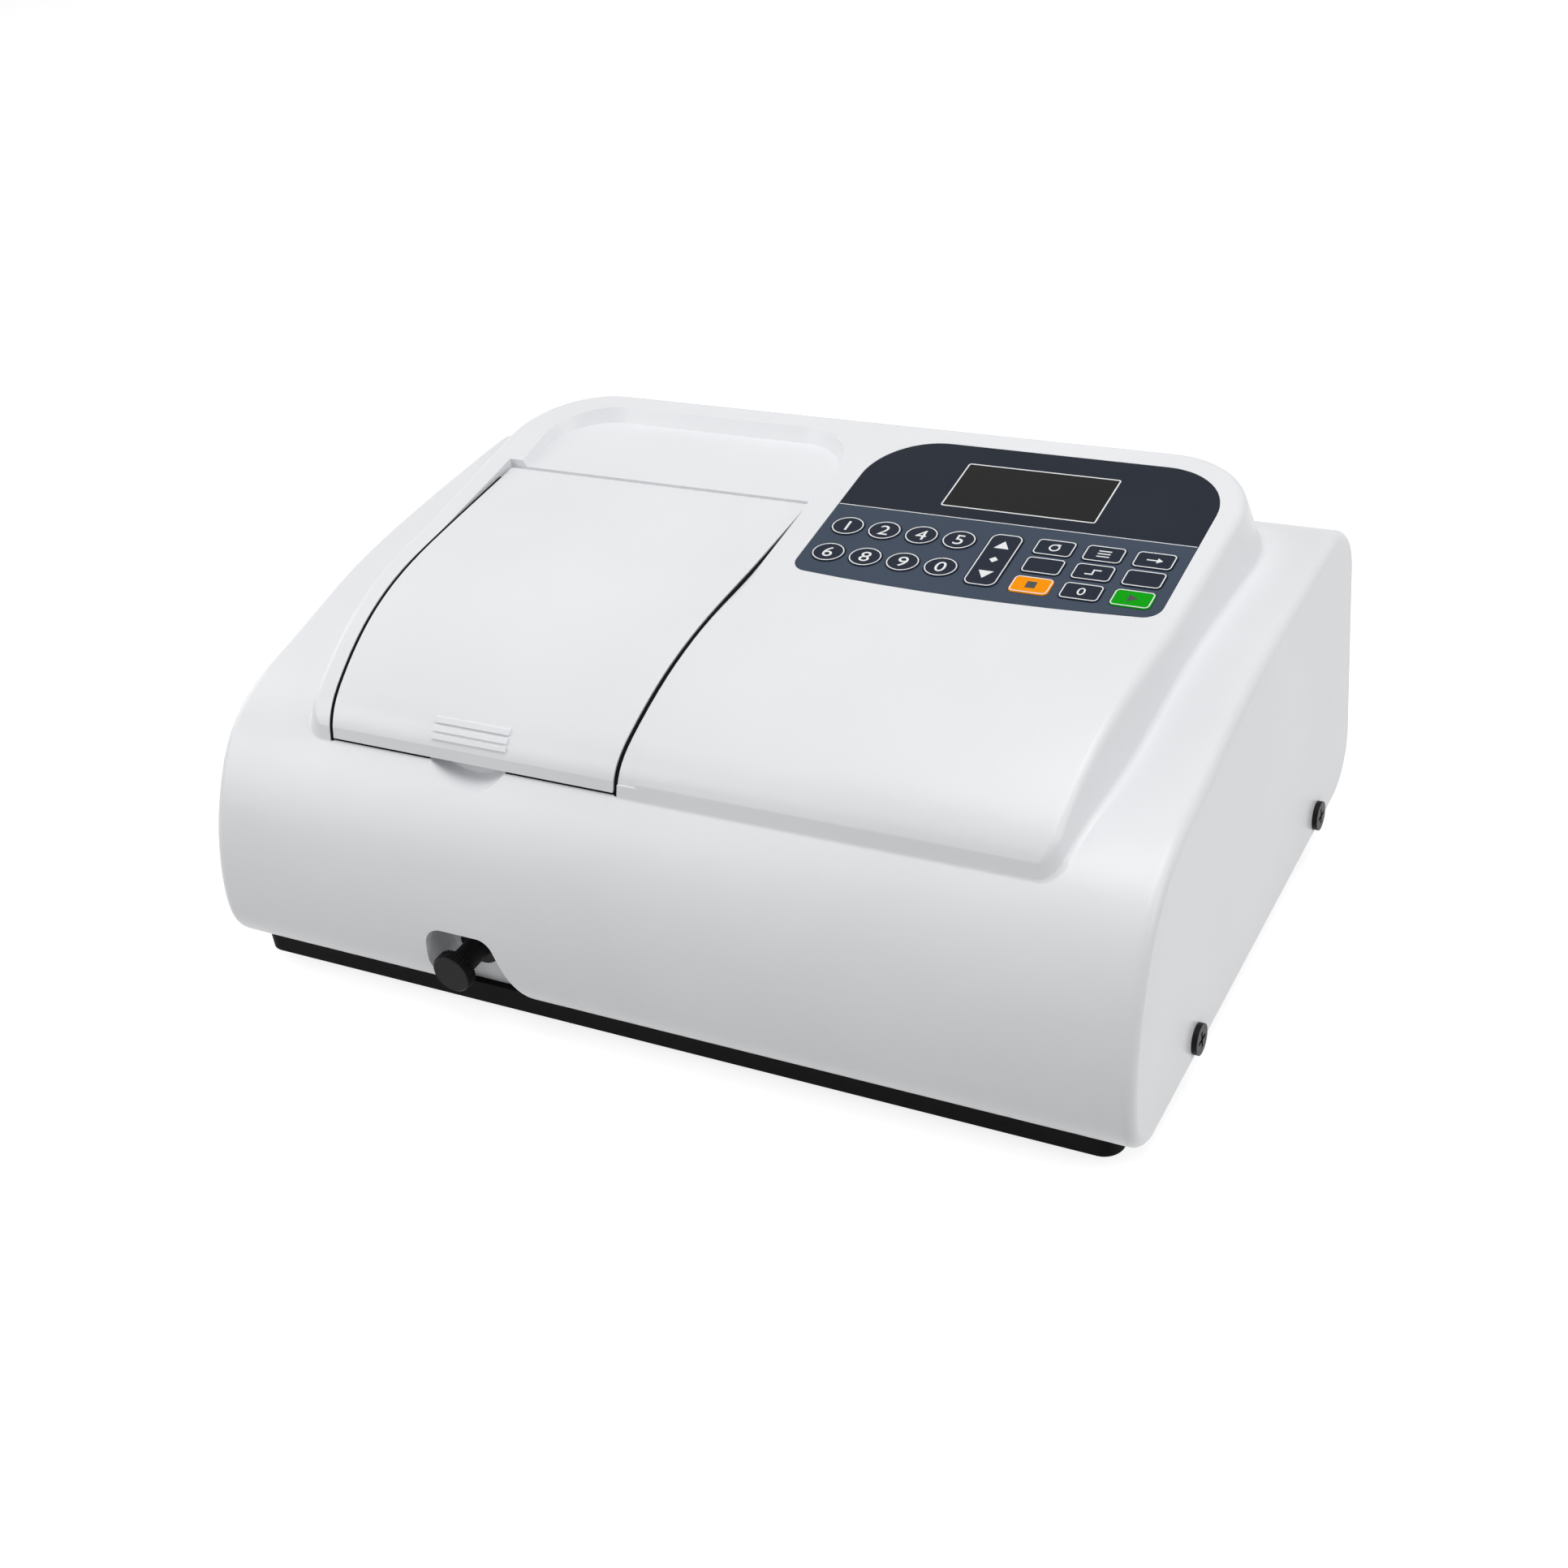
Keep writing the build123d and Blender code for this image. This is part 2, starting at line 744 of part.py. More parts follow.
with BuildPart() as side_screws:
    for side in (-1, 1):
        for y in side_screw_y:
            bar((side * half_width, y, side_screw_z), (side, 0, 0), side_screw_head, side_screw_rise)
            bar((side * half_width, y, side_screw_z), (-side, 0, 0), side_screw_radius, wall + 2.5)
            for height in (1.6, 8):
                with Locations((side * (half_width + side_screw_rise), y, side_screw_z)):
                    Box(2, height, 9.6 - height, mode=Mode.SUBTRACT)
pieces["side_screws"] = side_screws

# Lid: curved shell with a skirt, three grip ribs and a hinge barrel at its rear
with BuildPart() as lid:
    add(lid_prism(0, far_front, hinge_y) & console_block(0, lid_tilt, 0))
    add(console_block(lid_skirt, lid_tilt, lid_skirt), mode=Mode.SUBTRACT)
    add(lid_prism(lid_side_wall, far_front, hinge_y - barrel_radius)
        & console_block(lid_wall, lid_tilt, lid_wall), mode=Mode.SUBTRACT)
    for rib in range(rib_count):
        add(grip_rib(console_level + rib_level + rib * rib_pitch))
    add(wing_block(-lid_front_gap), mode=Mode.SUBTRACT)
    bar((lid_middle - lid_end, hinge_y, hinge_z), X_AXIS, barrel_radius, 2 * lid_end)
    for side in (-1, 1):
        bar((lid_middle + side * (lid_end + 1), hinge_y, hinge_z), (-side, 0, 0),
            hinge_pin_radius + running_gap, hinge_pin_length - 2, Mode.SUBTRACT)
pieces["lid"] = lid

# Gasket on the lid's seat, with a rib up the side gaps and a strip under the lid's front
with BuildPart() as lid_seal:
    gasket_top = lid_skirt + gasket_fit
    gasket_low = lid_seat_depth - gasket_fit
    rear = hinge_y - gasket_rear_gap
    ring = lid_prism(gasket_fit - lid_gap, far_front, rear)
    add(ring & console_block(gasket_top, lid_tilt, gasket_top))
    add(ring - lid_prism(gasket_fit + gasket_rib - lid_gap, far_front, rear)
        & console_block(gasket_rib_drop, lid_tilt, gasket_rib_drop))
    add(lid_prism(gasket_width, console_front + gasket_low, rear + 1), mode=Mode.SUBTRACT)
    add(console_block(gasket_low, lid_tilt, gasket_low), mode=Mode.SUBTRACT)
    add(wing_block(-gasket_fit), mode=Mode.SUBTRACT)
    add(lid_prism(0, far_front, 0) & wing_block(-gasket_strip)
        & console_block(gasket_strip_set_back, lid_tilt, gasket_strip_set_back)
        - console_block(gasket_low, lid_tilt, gasket_low) - wing_block(-gasket_fit)
        - scoop_ball(gasket_fit))
pieces["lid_seal"] = lid_seal

with BuildPart() as hinge_pins:
    for side in (-1, 1):
        outer = lid_middle + side * (lid_end + lid_gap + collar_wall)
        bar((outer, hinge_y, hinge_z), (-side, 0, 0), hinge_pin_radius, hinge_pin_length)
pieces["hinge_pins"] = hinge_pins

# Sample chamber: black well under the lid, with a flange below the lid seat
with BuildPart() as sample_chamber:
    flange_top = seat_low + chamber_flange_gap
    span_box(chamber_x, chamber_y, (slot_floor, cover_crest + 20))
    add(console_block(flange_top, lid_tilt, flange_top) + wing_block(wall + 2), mode=Mode.INTERSECT)
    span_box(chamber_x, chamber_y, (plate_top, slot_floor))
    add(lid_prism(3, console_front + flange_top, hinge_y - 5)
        & console_block(flange_top, lid_tilt, flange_top)
        - console_block(flange_top + chamber_flange, lid_tilt, flange_top + chamber_flange))
    span_box(
        (chamber_x[0] + chamber_wall, chamber_x[1] - chamber_wall),
        (chamber_y[0] + chamber_wall, chamber_y[1] - chamber_wall),
        (plate_top + chamber_wall, cover_crest + 30), Mode.SUBTRACT,
    )
    bar((rod_x, chamber_y[0] - 1, rod_z), Y_AXIS, rod_radius + rod_hole_gap, chamber_wall + 2, Mode.SUBTRACT)
    bar((chamber_x[0] - 1, beam_y, beam_z), X_AXIS, beam_radius + chamber_edge,
        chamber_x[1] - chamber_x[0] + 2, Mode.SUBTRACT)
    bar((chamber_x[0], beam_y, beam_z), X_AXIS, window_radius, window_thick, Mode.SUBTRACT)
    bar((chamber_x[1], beam_y, beam_z), (-1, 0, 0), window_radius, window_thick, Mode.SUBTRACT)
    for x in (rod_x - rail_spread, rod_x + rail_spread):
        bar((x, chamber_y[0] + chamber_wall / 2, rail_z), Y_AXIS, rail_radius,
            chamber_y[1] - chamber_y[0] - chamber_wall, Mode.SUBTRACT)
pieces["sample_chamber"] = sample_chamber

with BuildPart() as chamber_windows:
    bar((chamber_x[0], beam_y, beam_z), X_AXIS, window_radius, window_thick)
    bar((chamber_x[1], beam_y, beam_z), (-1, 0, 0), window_radius, window_thick)
pieces["chamber_windows"] = chamber_windows

with BuildPart() as guide_rails:
    for x in (rod_x - rail_spread, rod_x + rail_spread):
        bar((x, chamber_y[0] + chamber_wall / 2, rail_z), Y_AXIS, rail_radius,
            chamber_y[1] - chamber_y[0] - chamber_wall)
pieces["guide_rails"] = guide_rails

# Cell carriage: four square pockets in a row, with a light window through each
with BuildPart() as cell_carriage:
    span_box(
        (rod_x - carriage_width / 2, rod_x + carriage_width / 2), (carriage_front, carriage_rear),
        (carriage_low, carriage_high),
    )
    for slot in range(slot_count):
        y = carriage_front + carriage_margin + slot * slot_pitch
        span_box(
            (rod_x - slot_size / 2, rod_x + slot_size / 2), (y - slot_size / 2, y + slot_size / 2),
            (slot_floor, carriage_high + 1), Mode.SUBTRACT,
        )
        bar((rod_x - carriage_width, y, beam_z), X_AXIS, beam_radius, 2 * carriage_width, Mode.SUBTRACT)
    for x in (rod_x - rail_spread, rod_x + rail_spread):
        bar((x, carriage_front - 1, rail_z), Y_AXIS, rail_radius + running_gap, carriage_length + 2,
            Mode.SUBTRACT)
    chamfer(cell_carriage.edges().filter_by(Axis.Z).group_by(Axis.X)[0], 1)
    chamfer(cell_carriage.edges().filter_by(Axis.Z).group_by(Axis.X)[-1], 1)
pieces["cell_carriage"] = cell_carriage

with BuildPart() as pull_rod:
    bar((rod_x, knob_face + knob_thick, rod_z), Y_AXIS, rod_radius, carriage_front - knob_face - knob_thick)
pieces["pull_rod"] = pull_rod

with BuildPart() as pull_knob:
    with BuildSketch(Plane.XZ.offset(-knob_face - knob_thick)):
        with Locations((rod_x, rod_z)):
            Circle(knob_radius)
            with PolarLocations(knob_radius + knurl_depth / 2, knob_teeth):
                Rectangle(2 * knurl_depth, 2 * knurl_depth, rotation=45, mode=Mode.SUBTRACT)
    extrude(amount=knob_thick - knob_edge)
    bar((rod_x, knob_face + knob_edge, rod_z), (0, -1, 0), knob_radius - knurl_depth, knob_edge)
    chamfer(pull_knob.edges().group_by(Axis.Y)[0], knob_edge / 2)
pieces["pull_knob"] = pull_knob

with BuildPart() as rod_bush:
    start = recess_back - bush_flange
    bar((rod_x, start, rod_z), Y_AXIS, bush_radius, bush_flange)
    bar((rod_x, recess_back, rod_z), Y_AXIS, rod_radius + bush_wall, bush_length)
    bar((rod_x, start, rod_z), Y_AXIS, rod_radius + running_gap, bush_flange + bush_length, Mode.SUBTRACT)
pieces["rod_bush"] = rod_bush

# Control panel: overlay with a window and 18 openings, the keys and what lies below
with BuildPart() as control_overlay:
    with BuildSketch(panel_plane.offset(-panel_thick)):
        add(panel_outline(0))
        with Locations(panel_point(screen_x, screen_y)):
            Rectangle(screen_width, screen_height, mode=Mode.SUBTRACT)
        with Locations(*round_key_places()):
            add(key_shape("round", key_gap), mode=Mode.SUBTRACT)
        with Locations(*bar_key_places()):
            add(key_shape("bar", key_gap), mode=Mode.SUBTRACT)
        with Locations(panel_point(rocker_x, rocker_y)):
            add(key_shape("rocker", key_gap), mode=Mode.SUBTRACT)
    extrude(amount=panel_thick)
pieces["control_overlay"] = control_overlay

with BuildPart() as display_window:
    with BuildSketch(panel_plane.offset(-panel_thick)):
        with Locations(panel_point(screen_x, screen_y)):
            Rectangle(screen_width - 2 * screen_gap, screen_height - 2 * screen_gap)
    extrude(amount=panel_thick)
pieces["display_window"] = display_window

with BuildPart() as display_module:
    module_low = -panel_thick - key_gap - module_depth
    with BuildSketch(panel_plane.offset(module_low)):
        with Locations(panel_point(screen_x, screen_y - 1)):
            Rectangle(screen_width + 2 * module_border, screen_height + 2 * module_border)
    extrude(amount=board_thick)
    with BuildSketch(panel_plane.offset(module_low + board_thick)):
        with Locations(panel_point(screen_x, screen_y)):
            Rectangle(screen_width + 2 * glass_border, screen_height + 2 * glass_border)
    extrude(amount=module_depth - board_thick)
pieces["display_module"] = display_module

board_top = -panel_thick - key_cap_depth - board_drop
with BuildPart() as keypad_board:
    with BuildSketch(panel_plane.offset(board_top - board_thick)):
        with Locations(panel_point(panel_middle, rocker_y)):
            Rectangle(panel_width - 2 * panel_ledge - 2, rocker_height + 2)
    extrude(amount=board_thick)
pieces["keypad_board"] = keypad_board


def key_cap(kind, place):
    """One key: its cap through the overlay and the stem that presses the board."""
    with BuildPart() as cap:
        with BuildSketch(panel_plane.offset(-key_cap_depth)):
            with Locations(place):
                add(key_shape(kind, 0))
        extrude(amount=key_cap_depth + key_rise)
        chamfer(cap.faces().sort_by(panel_axis)[-1].edges(), key_edge)
        stem_low = board_top + key_travel + key_stem_gap
        with BuildSketch(panel_plane.offset(stem_low)):
            with Locations(place):
                Circle(key_stem_radius)
        extrude(amount=-stem_low - key_cap_depth)
    return cap


panel_axis = Axis(panel_plane.origin, panel_plane.z_dir)
for digit, place in zip("12456890", round_key_places()):
    pieces["key_" + digit] = key_cap("round", place)
for number, place in enumerate(bar_key_places(), start=1):
    pieces[f"function_key_{number}"] = key_cap("bar", place)
pieces["arrow_rocker"] = key_cap("rocker", panel_point(rocker_x, rocker_y))

# Optics bench with the monochromator, its grating drive and mirrors
with BuildPart() as optics_plate:
    span_box((-plate_half_width, plate_half_width), (plate_front, plate_rear), (cover_bottom, plate_top))
    fillet(optics_plate.edges().filter_by(Axis.Z), 6)
pieces["optics_plate"] = optics_plate

mono_top = plate_top + mono_height
with BuildPart() as monochromator_case:
    span_box(mono_x, mono_y, (plate_top, mono_top))
    span_box(
        (mono_x[0] + mono_wall, mono_x[1] - mono_wall), (mono_y[0] + mono_wall, mono_y[1] - mono_wall),
        (plate_top + mono_wall, mono_top + 1), Mode.SUBTRACT,
    )
    bar((mono_x[0] - 1, beam_y, beam_z), X_AXIS, beam_radius, mono_wall + 2, Mode.SUBTRACT)
    bar((mono_x[1] + 1, slit_y, beam_z), (-1, 0, 0), beam_radius, mono_wall + 2, Mode.SUBTRACT)
    bar((grating_x, grating_y, plate_top + table_gap), Z_AXIS, screw_radius + running_gap, mono_wall,
        Mode.SUBTRACT)
    bar((screw_x, mono_y[0] + 2, screw_z), Y_AXIS, journal_radius + running_gap, mono_wall, Mode.SUBTRACT)
    bar((screw_x, mono_y[1] - mono_wall - 1, screw_z), Y_AXIS, screw_radius + 0.5, mono_wall + 2,
        Mode.SUBTRACT)
pieces["monochromator_case"] = monochromator_case

with BuildPart() as monochromator_lid:
    span_box(mono_x, mono_y, (mono_top, mono_top + mono_lid))
    fillet(monochromator_lid.edges().filter_by(Axis.Z), 3)
pieces["monochromator_lid"] = monochromator_lid

table_low = plate_top + mono_wall + table_gap
table_high = table_low + table_thick
pin_x = grating_x + grating_arm
with BuildPart() as grating_table:
    bar((grating_x, grating_y, table_low), Z_AXIS, table_radius, table_thick)
    bar((grating_x, grating_y, plate_top + table_gap + 0.3), Z_AXIS, screw_radius, mono_wall + 1)
    span_box(
        (grating_x, pin_x), (grating_y - arm_width / 2, grating_y + arm_width / 2),
        (table_low, table_high),
    )
    bar((pin_x, grating_y, table_low), Z_AXIS, arm_pin_radius, screw_z - table_low + 2)
pieces["grating_table"] = grating_table

with BuildPart() as grating:
    span_box(
        (grating_x - grating_size / 2, grating_x + grating_size / 2),
        (grating_y + 3 - grating_thick, grating_y + 3), (table_high, table_high + grating_size),
    )
pieces["grating"] = grating

nut_y = grating_y - arm_pin_radius - arm_pin_gap - finger_length / 2
mono_length = mono_y[1] - mono_y[0]
with BuildPart() as lead_screw:
    bar((screw_x, mono_y[0] + mono_wall + 1, screw_z), Y_AXIS, screw_radius, mono_length - mono_wall - 2)
    bar((screw_x, mono_y[0] + journal_depth, screw_z), Y_AXIS, journal_radius, mono_length + 8)
    bar((screw_x, mono_y[1] - mono_wall - coupling_gap, screw_z), (0, -1, 0), coupling_radius,
        coupling_length)
pieces["lead_screw"] = lead_screw

with BuildPart() as drive_nut:
    half = nut_width / 2
    span_box(
        (screw_x - half, screw_x + half), (nut_y - nut_length / 2, nut_y + nut_length / 2),
        (screw_z - half, screw_z + half),
    )
    span_box(
        (pin_x - 2 * arm_pin_radius, screw_x), (nut_y - finger_length / 2, nut_y + finger_length / 2),
        (screw_z - 6, screw_z + 4),
    )
    bar((screw_x, nut_y - nut_length, screw_z), Y_AXIS, screw_radius + running_gap, 2 * nut_length,
        Mode.SUBTRACT)
pieces["drive_nut"] = drive_nut

with BuildPart() as stepper_motor:
    half = motor_size / 2
    span_box(
        (screw_x - half, screw_x + half), (mono_y[1], mono_y[1] + motor_length),
        (screw_z - half, screw_z + half),
    )
    chamfer(stepper_motor.edges().filter_by(Axis.Y), motor_corner)
    bar((screw_x, mono_y[1] - 1, screw_z), Y_AXIS, journal_radius + running_gap, 14, Mode.SUBTRACT)
pieces["stepper_motor"] = stepper_motor

with BuildPart() as curved_mirrors:
    mirror_face = mono_y[0] + mono_wall + mirror_back_gap + mirror_thick
    for x in mirror_x:
        with BuildSketch(Plane.XZ.offset(-mirror_face)):
            with Locations((x, beam_z)):
                Circle(mirror_radius)
            with Locations((x, (plate_top + mono_wall + beam_z) / 2)):
                Rectangle(1.2 * mirror_radius, beam_z - plate_top - mono_wall)
        extrude(amount=mirror_thick)
        with Locations((x, mirror_face + mirror_curve - 2, beam_z)):
            Sphere(mirror_curve, mode=Mode.SUBTRACT)
pieces["curved_mirrors"] = curved_mirrors

# Lamp house, filter wheel, detector, power supply and main board
lamp_top = plate_top + lamp_box_height
with BuildPart() as lamp_house:
    span_box(lamp_box_x, lamp_box_y, (plate_top, lamp_top))
    span_box(
        (lamp_box_x[0] + sheet, lamp_box_x[1] - sheet), (lamp_box_y[0] + sheet, lamp_box_y[1] - sheet),
        (plate_top + sheet, lamp_top + 1), Mode.SUBTRACT,
    )
    bar((lamp_box_x[0] - 1, slit_y, beam_z), X_AXIS, beam_radius + 2, sheet + 2, Mode.SUBTRACT)
    for row in range(lamp_vents):
        level = plate_top + 20 + 15 * row
        span_box((lamp_box_x[0] + 20, lamp_box_x[1] - 20), (lamp_box_y[1] - sheet - 1, lamp_box_y[1] + 1),
                 (level, level + 6), Mode.SUBTRACT)
pieces["lamp_house"] = lamp_house

with BuildPart() as halogen_lamp:
    bar((*halogen_place, plate_top + sheet), Z_AXIS, halogen_radius + 4, 14)
    bar((*halogen_place, plate_top + sheet + 14), Z_AXIS, halogen_radius, halogen_length)
    fillet(halogen_lamp.edges().group_by(Axis.Z)[-1], 0.8 * halogen_radius)
pieces["halogen_lamp"] = halogen_lamp

with BuildPart() as deuterium_lamp:
    bar((*deuterium_place, plate_top + sheet), Z_AXIS, deuterium_radius + 3, 8)
    bar((*deuterium_place, plate_top + sheet + 8), Z_AXIS, deuterium_radius, deuterium_length)
    fillet(deuterium_lamp.edges().group_by(Axis.Z)[-1], 0.7 * deuterium_radius)
pieces["deuterium_lamp"] = deuterium_lamp

wheel_x = mono_x[1] + wheel_gap
with BuildPart() as filter_wheel:
    bar((wheel_x, wheel_y, beam_z), X_AXIS, wheel_radius, wheel_thick)
    with BuildSketch(Plane((wheel_x, wheel_y, beam_z), x_dir=Y_AXIS, z_dir=X_AXIS)):
        with PolarLocations(filter_circle, filter_count):
            Circle(filter_radius)
    extrude(amount=wheel_thick, mode=Mode.SUBTRACT)
    bar((wheel_x, wheel_y, beam_z), X_AXIS, wheel_shaft_radius + running_gap, wheel_thick, Mode.SUBTRACT)
pieces["filter_wheel"] = filter_wheel

with BuildPart() as filter_motor:
    reach = lamp_box_x[0] - wheel_x
    bar((lamp_box_x[0], wheel_y, beam_z), (-1, 0, 0), filter_motor_radius, reach - wheel_thick - 1)
    bar((lamp_box_x[0], wheel_y, beam_z), (-1, 0, 0), wheel_shaft_radius, reach)
pieces["filter_motor"] = filter_motor

with BuildPart() as detector_module:
    face = chamber_x[0] - detector_tube
    half = detector_length / 2
    span_box(
        (face - detector_width, face), (beam_y - half, beam_y + half),
        (plate_top, plate_top + detector_height),
    )
    fillet(detector_module.edges().filter_by(Axis.Z), 2)
    bar((face - 1, beam_y, beam_z), X_AXIS, window_radius + 4, detector_tube + 1 - detector_gap)
    bar((face + 5, beam_y, beam_z), X_AXIS, beam_radius + chamber_edge, detector_tube, Mode.SUBTRACT)
pieces["detector_module"] = detector_module

with BuildPart() as power_supply:
    span_box(supply_x, supply_y, (plate_top, plate_top + supply_height))
    chamfer(power_supply.edges().filter_by(Axis.Z), 2)
    for row in range(supply_vents):
        level = supply_y[0] + 14 + 12 * row
        span_box((supply_x[0] + 15, supply_x[1] - 15), (level, level + 4),
                 (plate_top + supply_height - 3, plate_top + supply_height + 1), Mode.SUBTRACT)
pieces["power_supply"] = power_supply

with BuildPart() as main_board:
    board_high = plate_top + board_post + board_thick
    span_box(board_x, board_y, (plate_top + board_post, board_high))
    for x in (board_x[0] + 5, board_x[1] - 5):
        for y in (board_y[0] + 5, board_y[1] - 5):
            bar((x, y, plate_top), Z_AXIS, 3, board_post)
    for column in range(chip_count):
        left = board_x[0] + 14 + column * (board_x[1] - board_x[0] - 16) / chip_count
        span_box((left, left + 14), (board_y[0] + 12, board_y[0] + 26), (board_high, board_high + 3))
pieces["main_board"] = main_board

# Rear panel with the fan, mains socket, power switch and data port
with BuildPart() as rear_panel:
    span_box(rear_panel_x, (panel_back - sheet, panel_back), rear_panel_z)
    with BuildSketch(Plane.XZ.offset(-panel_back)):
        with Locations((fan_x, fan_z)):
            Circle(fan_size / 2 - 3)
            Circle(fan_size / 2 - 3 - fan_ring, mode=Mode.SUBTRACT)
            Circle(fan_size / 2 - 3 - 2 * fan_ring)
            Circle(fan_size / 2 - 3 - 3 * fan_ring, mode=Mode.SUBTRACT)
            Rectangle(fan_size, 3, mode=Mode.SUBTRACT)
            Rectangle(3, fan_size, mode=Mode.SUBTRACT)
    extrude(amount=sheet, mode=Mode.SUBTRACT)
    rear_box(inlet_x, inlet_width + 2 * socket_gap, inlet_height + 2 * socket_gap, -5, 1, Mode.SUBTRACT)
    rear_box(switch_x, switch_width + 2 * socket_gap, switch_height + 2 * socket_gap, -5, 1, Mode.SUBTRACT)
    rear_box(port_x, port_width + 2 * socket_gap, port_height + 2 * socket_gap, -5, 1, Mode.SUBTRACT)
pieces["rear_panel"] = rear_panel

fan_front = panel_back - sheet - fan_depth
with BuildPart() as fan_frame:
    half = fan_size / 2
    span_box((fan_x - half, fan_x + half), (fan_front, panel_back - sheet), (fan_z - half, fan_z + half))
    fillet(fan_frame.edges().filter_by(Axis.Y), 4)
    bar((fan_x, fan_front, fan_z), Y_AXIS, half - 1.5, fan_depth, Mode.SUBTRACT)
    bar((fan_x, fan_front, fan_z), Y_AXIS, fan_hub - 1, 2)
    with Locations((fan_x, fan_front + 1, fan_z)):
        Box(fan_size - 2, 2, 3)
        Box(3, 2, fan_size - 2)
    bar((fan_x, fan_front, fan_z), Y_AXIS, fan_pin_radius, fan_depth - 3)
pieces["fan_frame"] = fan_frame

with BuildPart() as fan_rotor:
    bar((fan_x, fan_front + 3, fan_z), Y_AXIS, fan_hub, fan_depth - 5)
    for blade in range(fan_blades):
        with Locations(Plane((fan_x, fan_front + fan_depth / 2 + 0.5, fan_z), x_dir=Z_AXIS, z_dir=Y_AXIS)
                       * Rot(0, 0, 360 / fan_blades * blade) * Pos((fan_hub + fan_size / 2 - 5) / 2, 0, 0)
                       * Rot(35, 0, 0)):
            Box(fan_size / 2 - 1 - fan_hub, fan_depth - 3, 1.5)
    bar((fan_x, fan_front, fan_z), Y_AXIS, fan_pin_radius + running_gap, fan_depth, Mode.SUBTRACT)
pieces["fan_rotor"] = fan_rotor

with BuildPart() as mains_inlet:
    rear_box(inlet_x, inlet_width, inlet_height, -inlet_depth, 0)
    rear_box(inlet_x, inlet_flange[0], inlet_flange[1], 0, inlet_flange[2])
    rear_box(inlet_x, inlet_mouth[0], inlet_mouth[1], -inlet_mouth[2], inlet_flange[2], Mode.SUBTRACT)
    for x, z in ((-7, -1), (0, 2.5), (7, -1)):
        span_box((inlet_x + x - 1, inlet_x + x + 1), (panel_back - inlet_mouth[2] - 1, panel_back - 2),
                 (socket_z + z - 2, socket_z + z + 2))
pieces["mains_inlet"] = mains_inlet

with BuildPart() as switch_body:
    rear_box(switch_x, switch_width, switch_height, -switch_depth, 0)
    rear_box(switch_x, switch_flange[0], switch_flange[1], 0, switch_flange[2])
    rear_box(switch_x, switch_mouth[0], switch_mouth[1], -switch_mouth[2], switch_flange[2], Mode.SUBTRACT)
pieces["switch_body"] = switch_body

with BuildPart() as switch_rocker:
    half = rocker_cap[1] / 2
    back = panel_back - 5
    with BuildSketch(Plane.YZ.offset(switch_x - rocker_cap[0] / 2)):
        with BuildLine():
            Polyline(
                (back, socket_z - half), (panel_back + 0.6, socket_z - half), (panel_back - 0.6, socket_z),
                (panel_back + 1.8, socket_z + half), (back, socket_z + half), (back, socket_z - half),
            )
        make_face()
    extrude(amount=rocker_cap[0])
pieces["switch_rocker"] = switch_rocker

with BuildPart() as data_port:
    rear_box(port_x, port_width, port_height, -port_depth, 1.5)
    rear_box(port_x, port_flange[0], port_flange[1], 0, port_flange[2])
    rear_box(port_x, port_mouth[0], port_mouth[1], -port_mouth[2], 2, Mode.SUBTRACT)
pieces["data_port"] = data_port

os.makedirs("parts", exist_ok=True)
for name, piece in pieces.items():
    piece.part.label = name
    export_step(piece.part, f"parts/{name}.step")
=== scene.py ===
import json
from math import cos, pi, radians, sin

import bmesh
import bpy
from mathutils import Matrix, Vector


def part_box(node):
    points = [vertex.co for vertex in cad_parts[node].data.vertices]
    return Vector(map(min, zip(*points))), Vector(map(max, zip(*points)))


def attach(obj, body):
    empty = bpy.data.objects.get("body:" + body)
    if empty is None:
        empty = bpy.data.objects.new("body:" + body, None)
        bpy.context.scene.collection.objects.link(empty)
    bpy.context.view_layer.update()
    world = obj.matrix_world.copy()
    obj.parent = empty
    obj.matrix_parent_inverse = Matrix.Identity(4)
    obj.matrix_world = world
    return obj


# Looks of a bench spectrophotometer, in metres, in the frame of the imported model.
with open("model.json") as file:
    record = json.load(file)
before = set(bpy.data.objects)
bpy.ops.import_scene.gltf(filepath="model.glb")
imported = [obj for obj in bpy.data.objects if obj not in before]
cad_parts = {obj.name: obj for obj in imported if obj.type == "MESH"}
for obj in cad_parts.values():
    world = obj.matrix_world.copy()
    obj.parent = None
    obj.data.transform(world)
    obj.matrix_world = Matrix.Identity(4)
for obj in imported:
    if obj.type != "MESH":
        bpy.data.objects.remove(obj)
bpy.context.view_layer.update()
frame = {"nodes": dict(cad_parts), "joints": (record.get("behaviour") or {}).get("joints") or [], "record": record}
nodes = frame["nodes"]
record = frame["record"]

MM = 0.001
DIGITS = "12456890"

# Camera, as fitted to the straight edges of the photograph
CAMERA_PLACE = (0.4750, -0.7719, 0.6451)
CAMERA_LENS = 51.62
CAMERA_SENSOR = 36.0
CAMERA_YAW = radians(31.62)
CAMERA_PITCH = radians(32.71)
CAMERA_ROLL = radians(-7.79)

# Printed lines and signs on the control panel
INK_THICK = 0.05 * MM
INK_LIFT = 0.01 * MM
OUTLINE = 0.55 * MM
RING_INSET = 0.135 * MM
ROCKER_INSET = 0.2 * MM
ROCKER_CORNER = 4.0 * MM
FUNCTION_INSET = 0.1 * MM
FUNCTION_CORNER = 2.2 * MM
SCREEN_MARGIN = 0.15 * MM
SCREEN_CORNER = 0.6 * MM
SCREEN_LINE = 0.7 * MM
OVERLAY_THICK = 1.0 * MM
LEAST_CORNER = 0.05 * MM
DIVIDER_Y = 66.5 * MM
DIGIT_HEIGHT = 7.2 * MM
SMALL_DIGIT_HEIGHT = 5.2 * MM
DIGIT_STROKE = 0.01 * MM
DIGIT_STRETCH = 1.12
TEXT_SIZE = 1.42
CORNER_STEPS = 8
ROUND_STEPS = 48

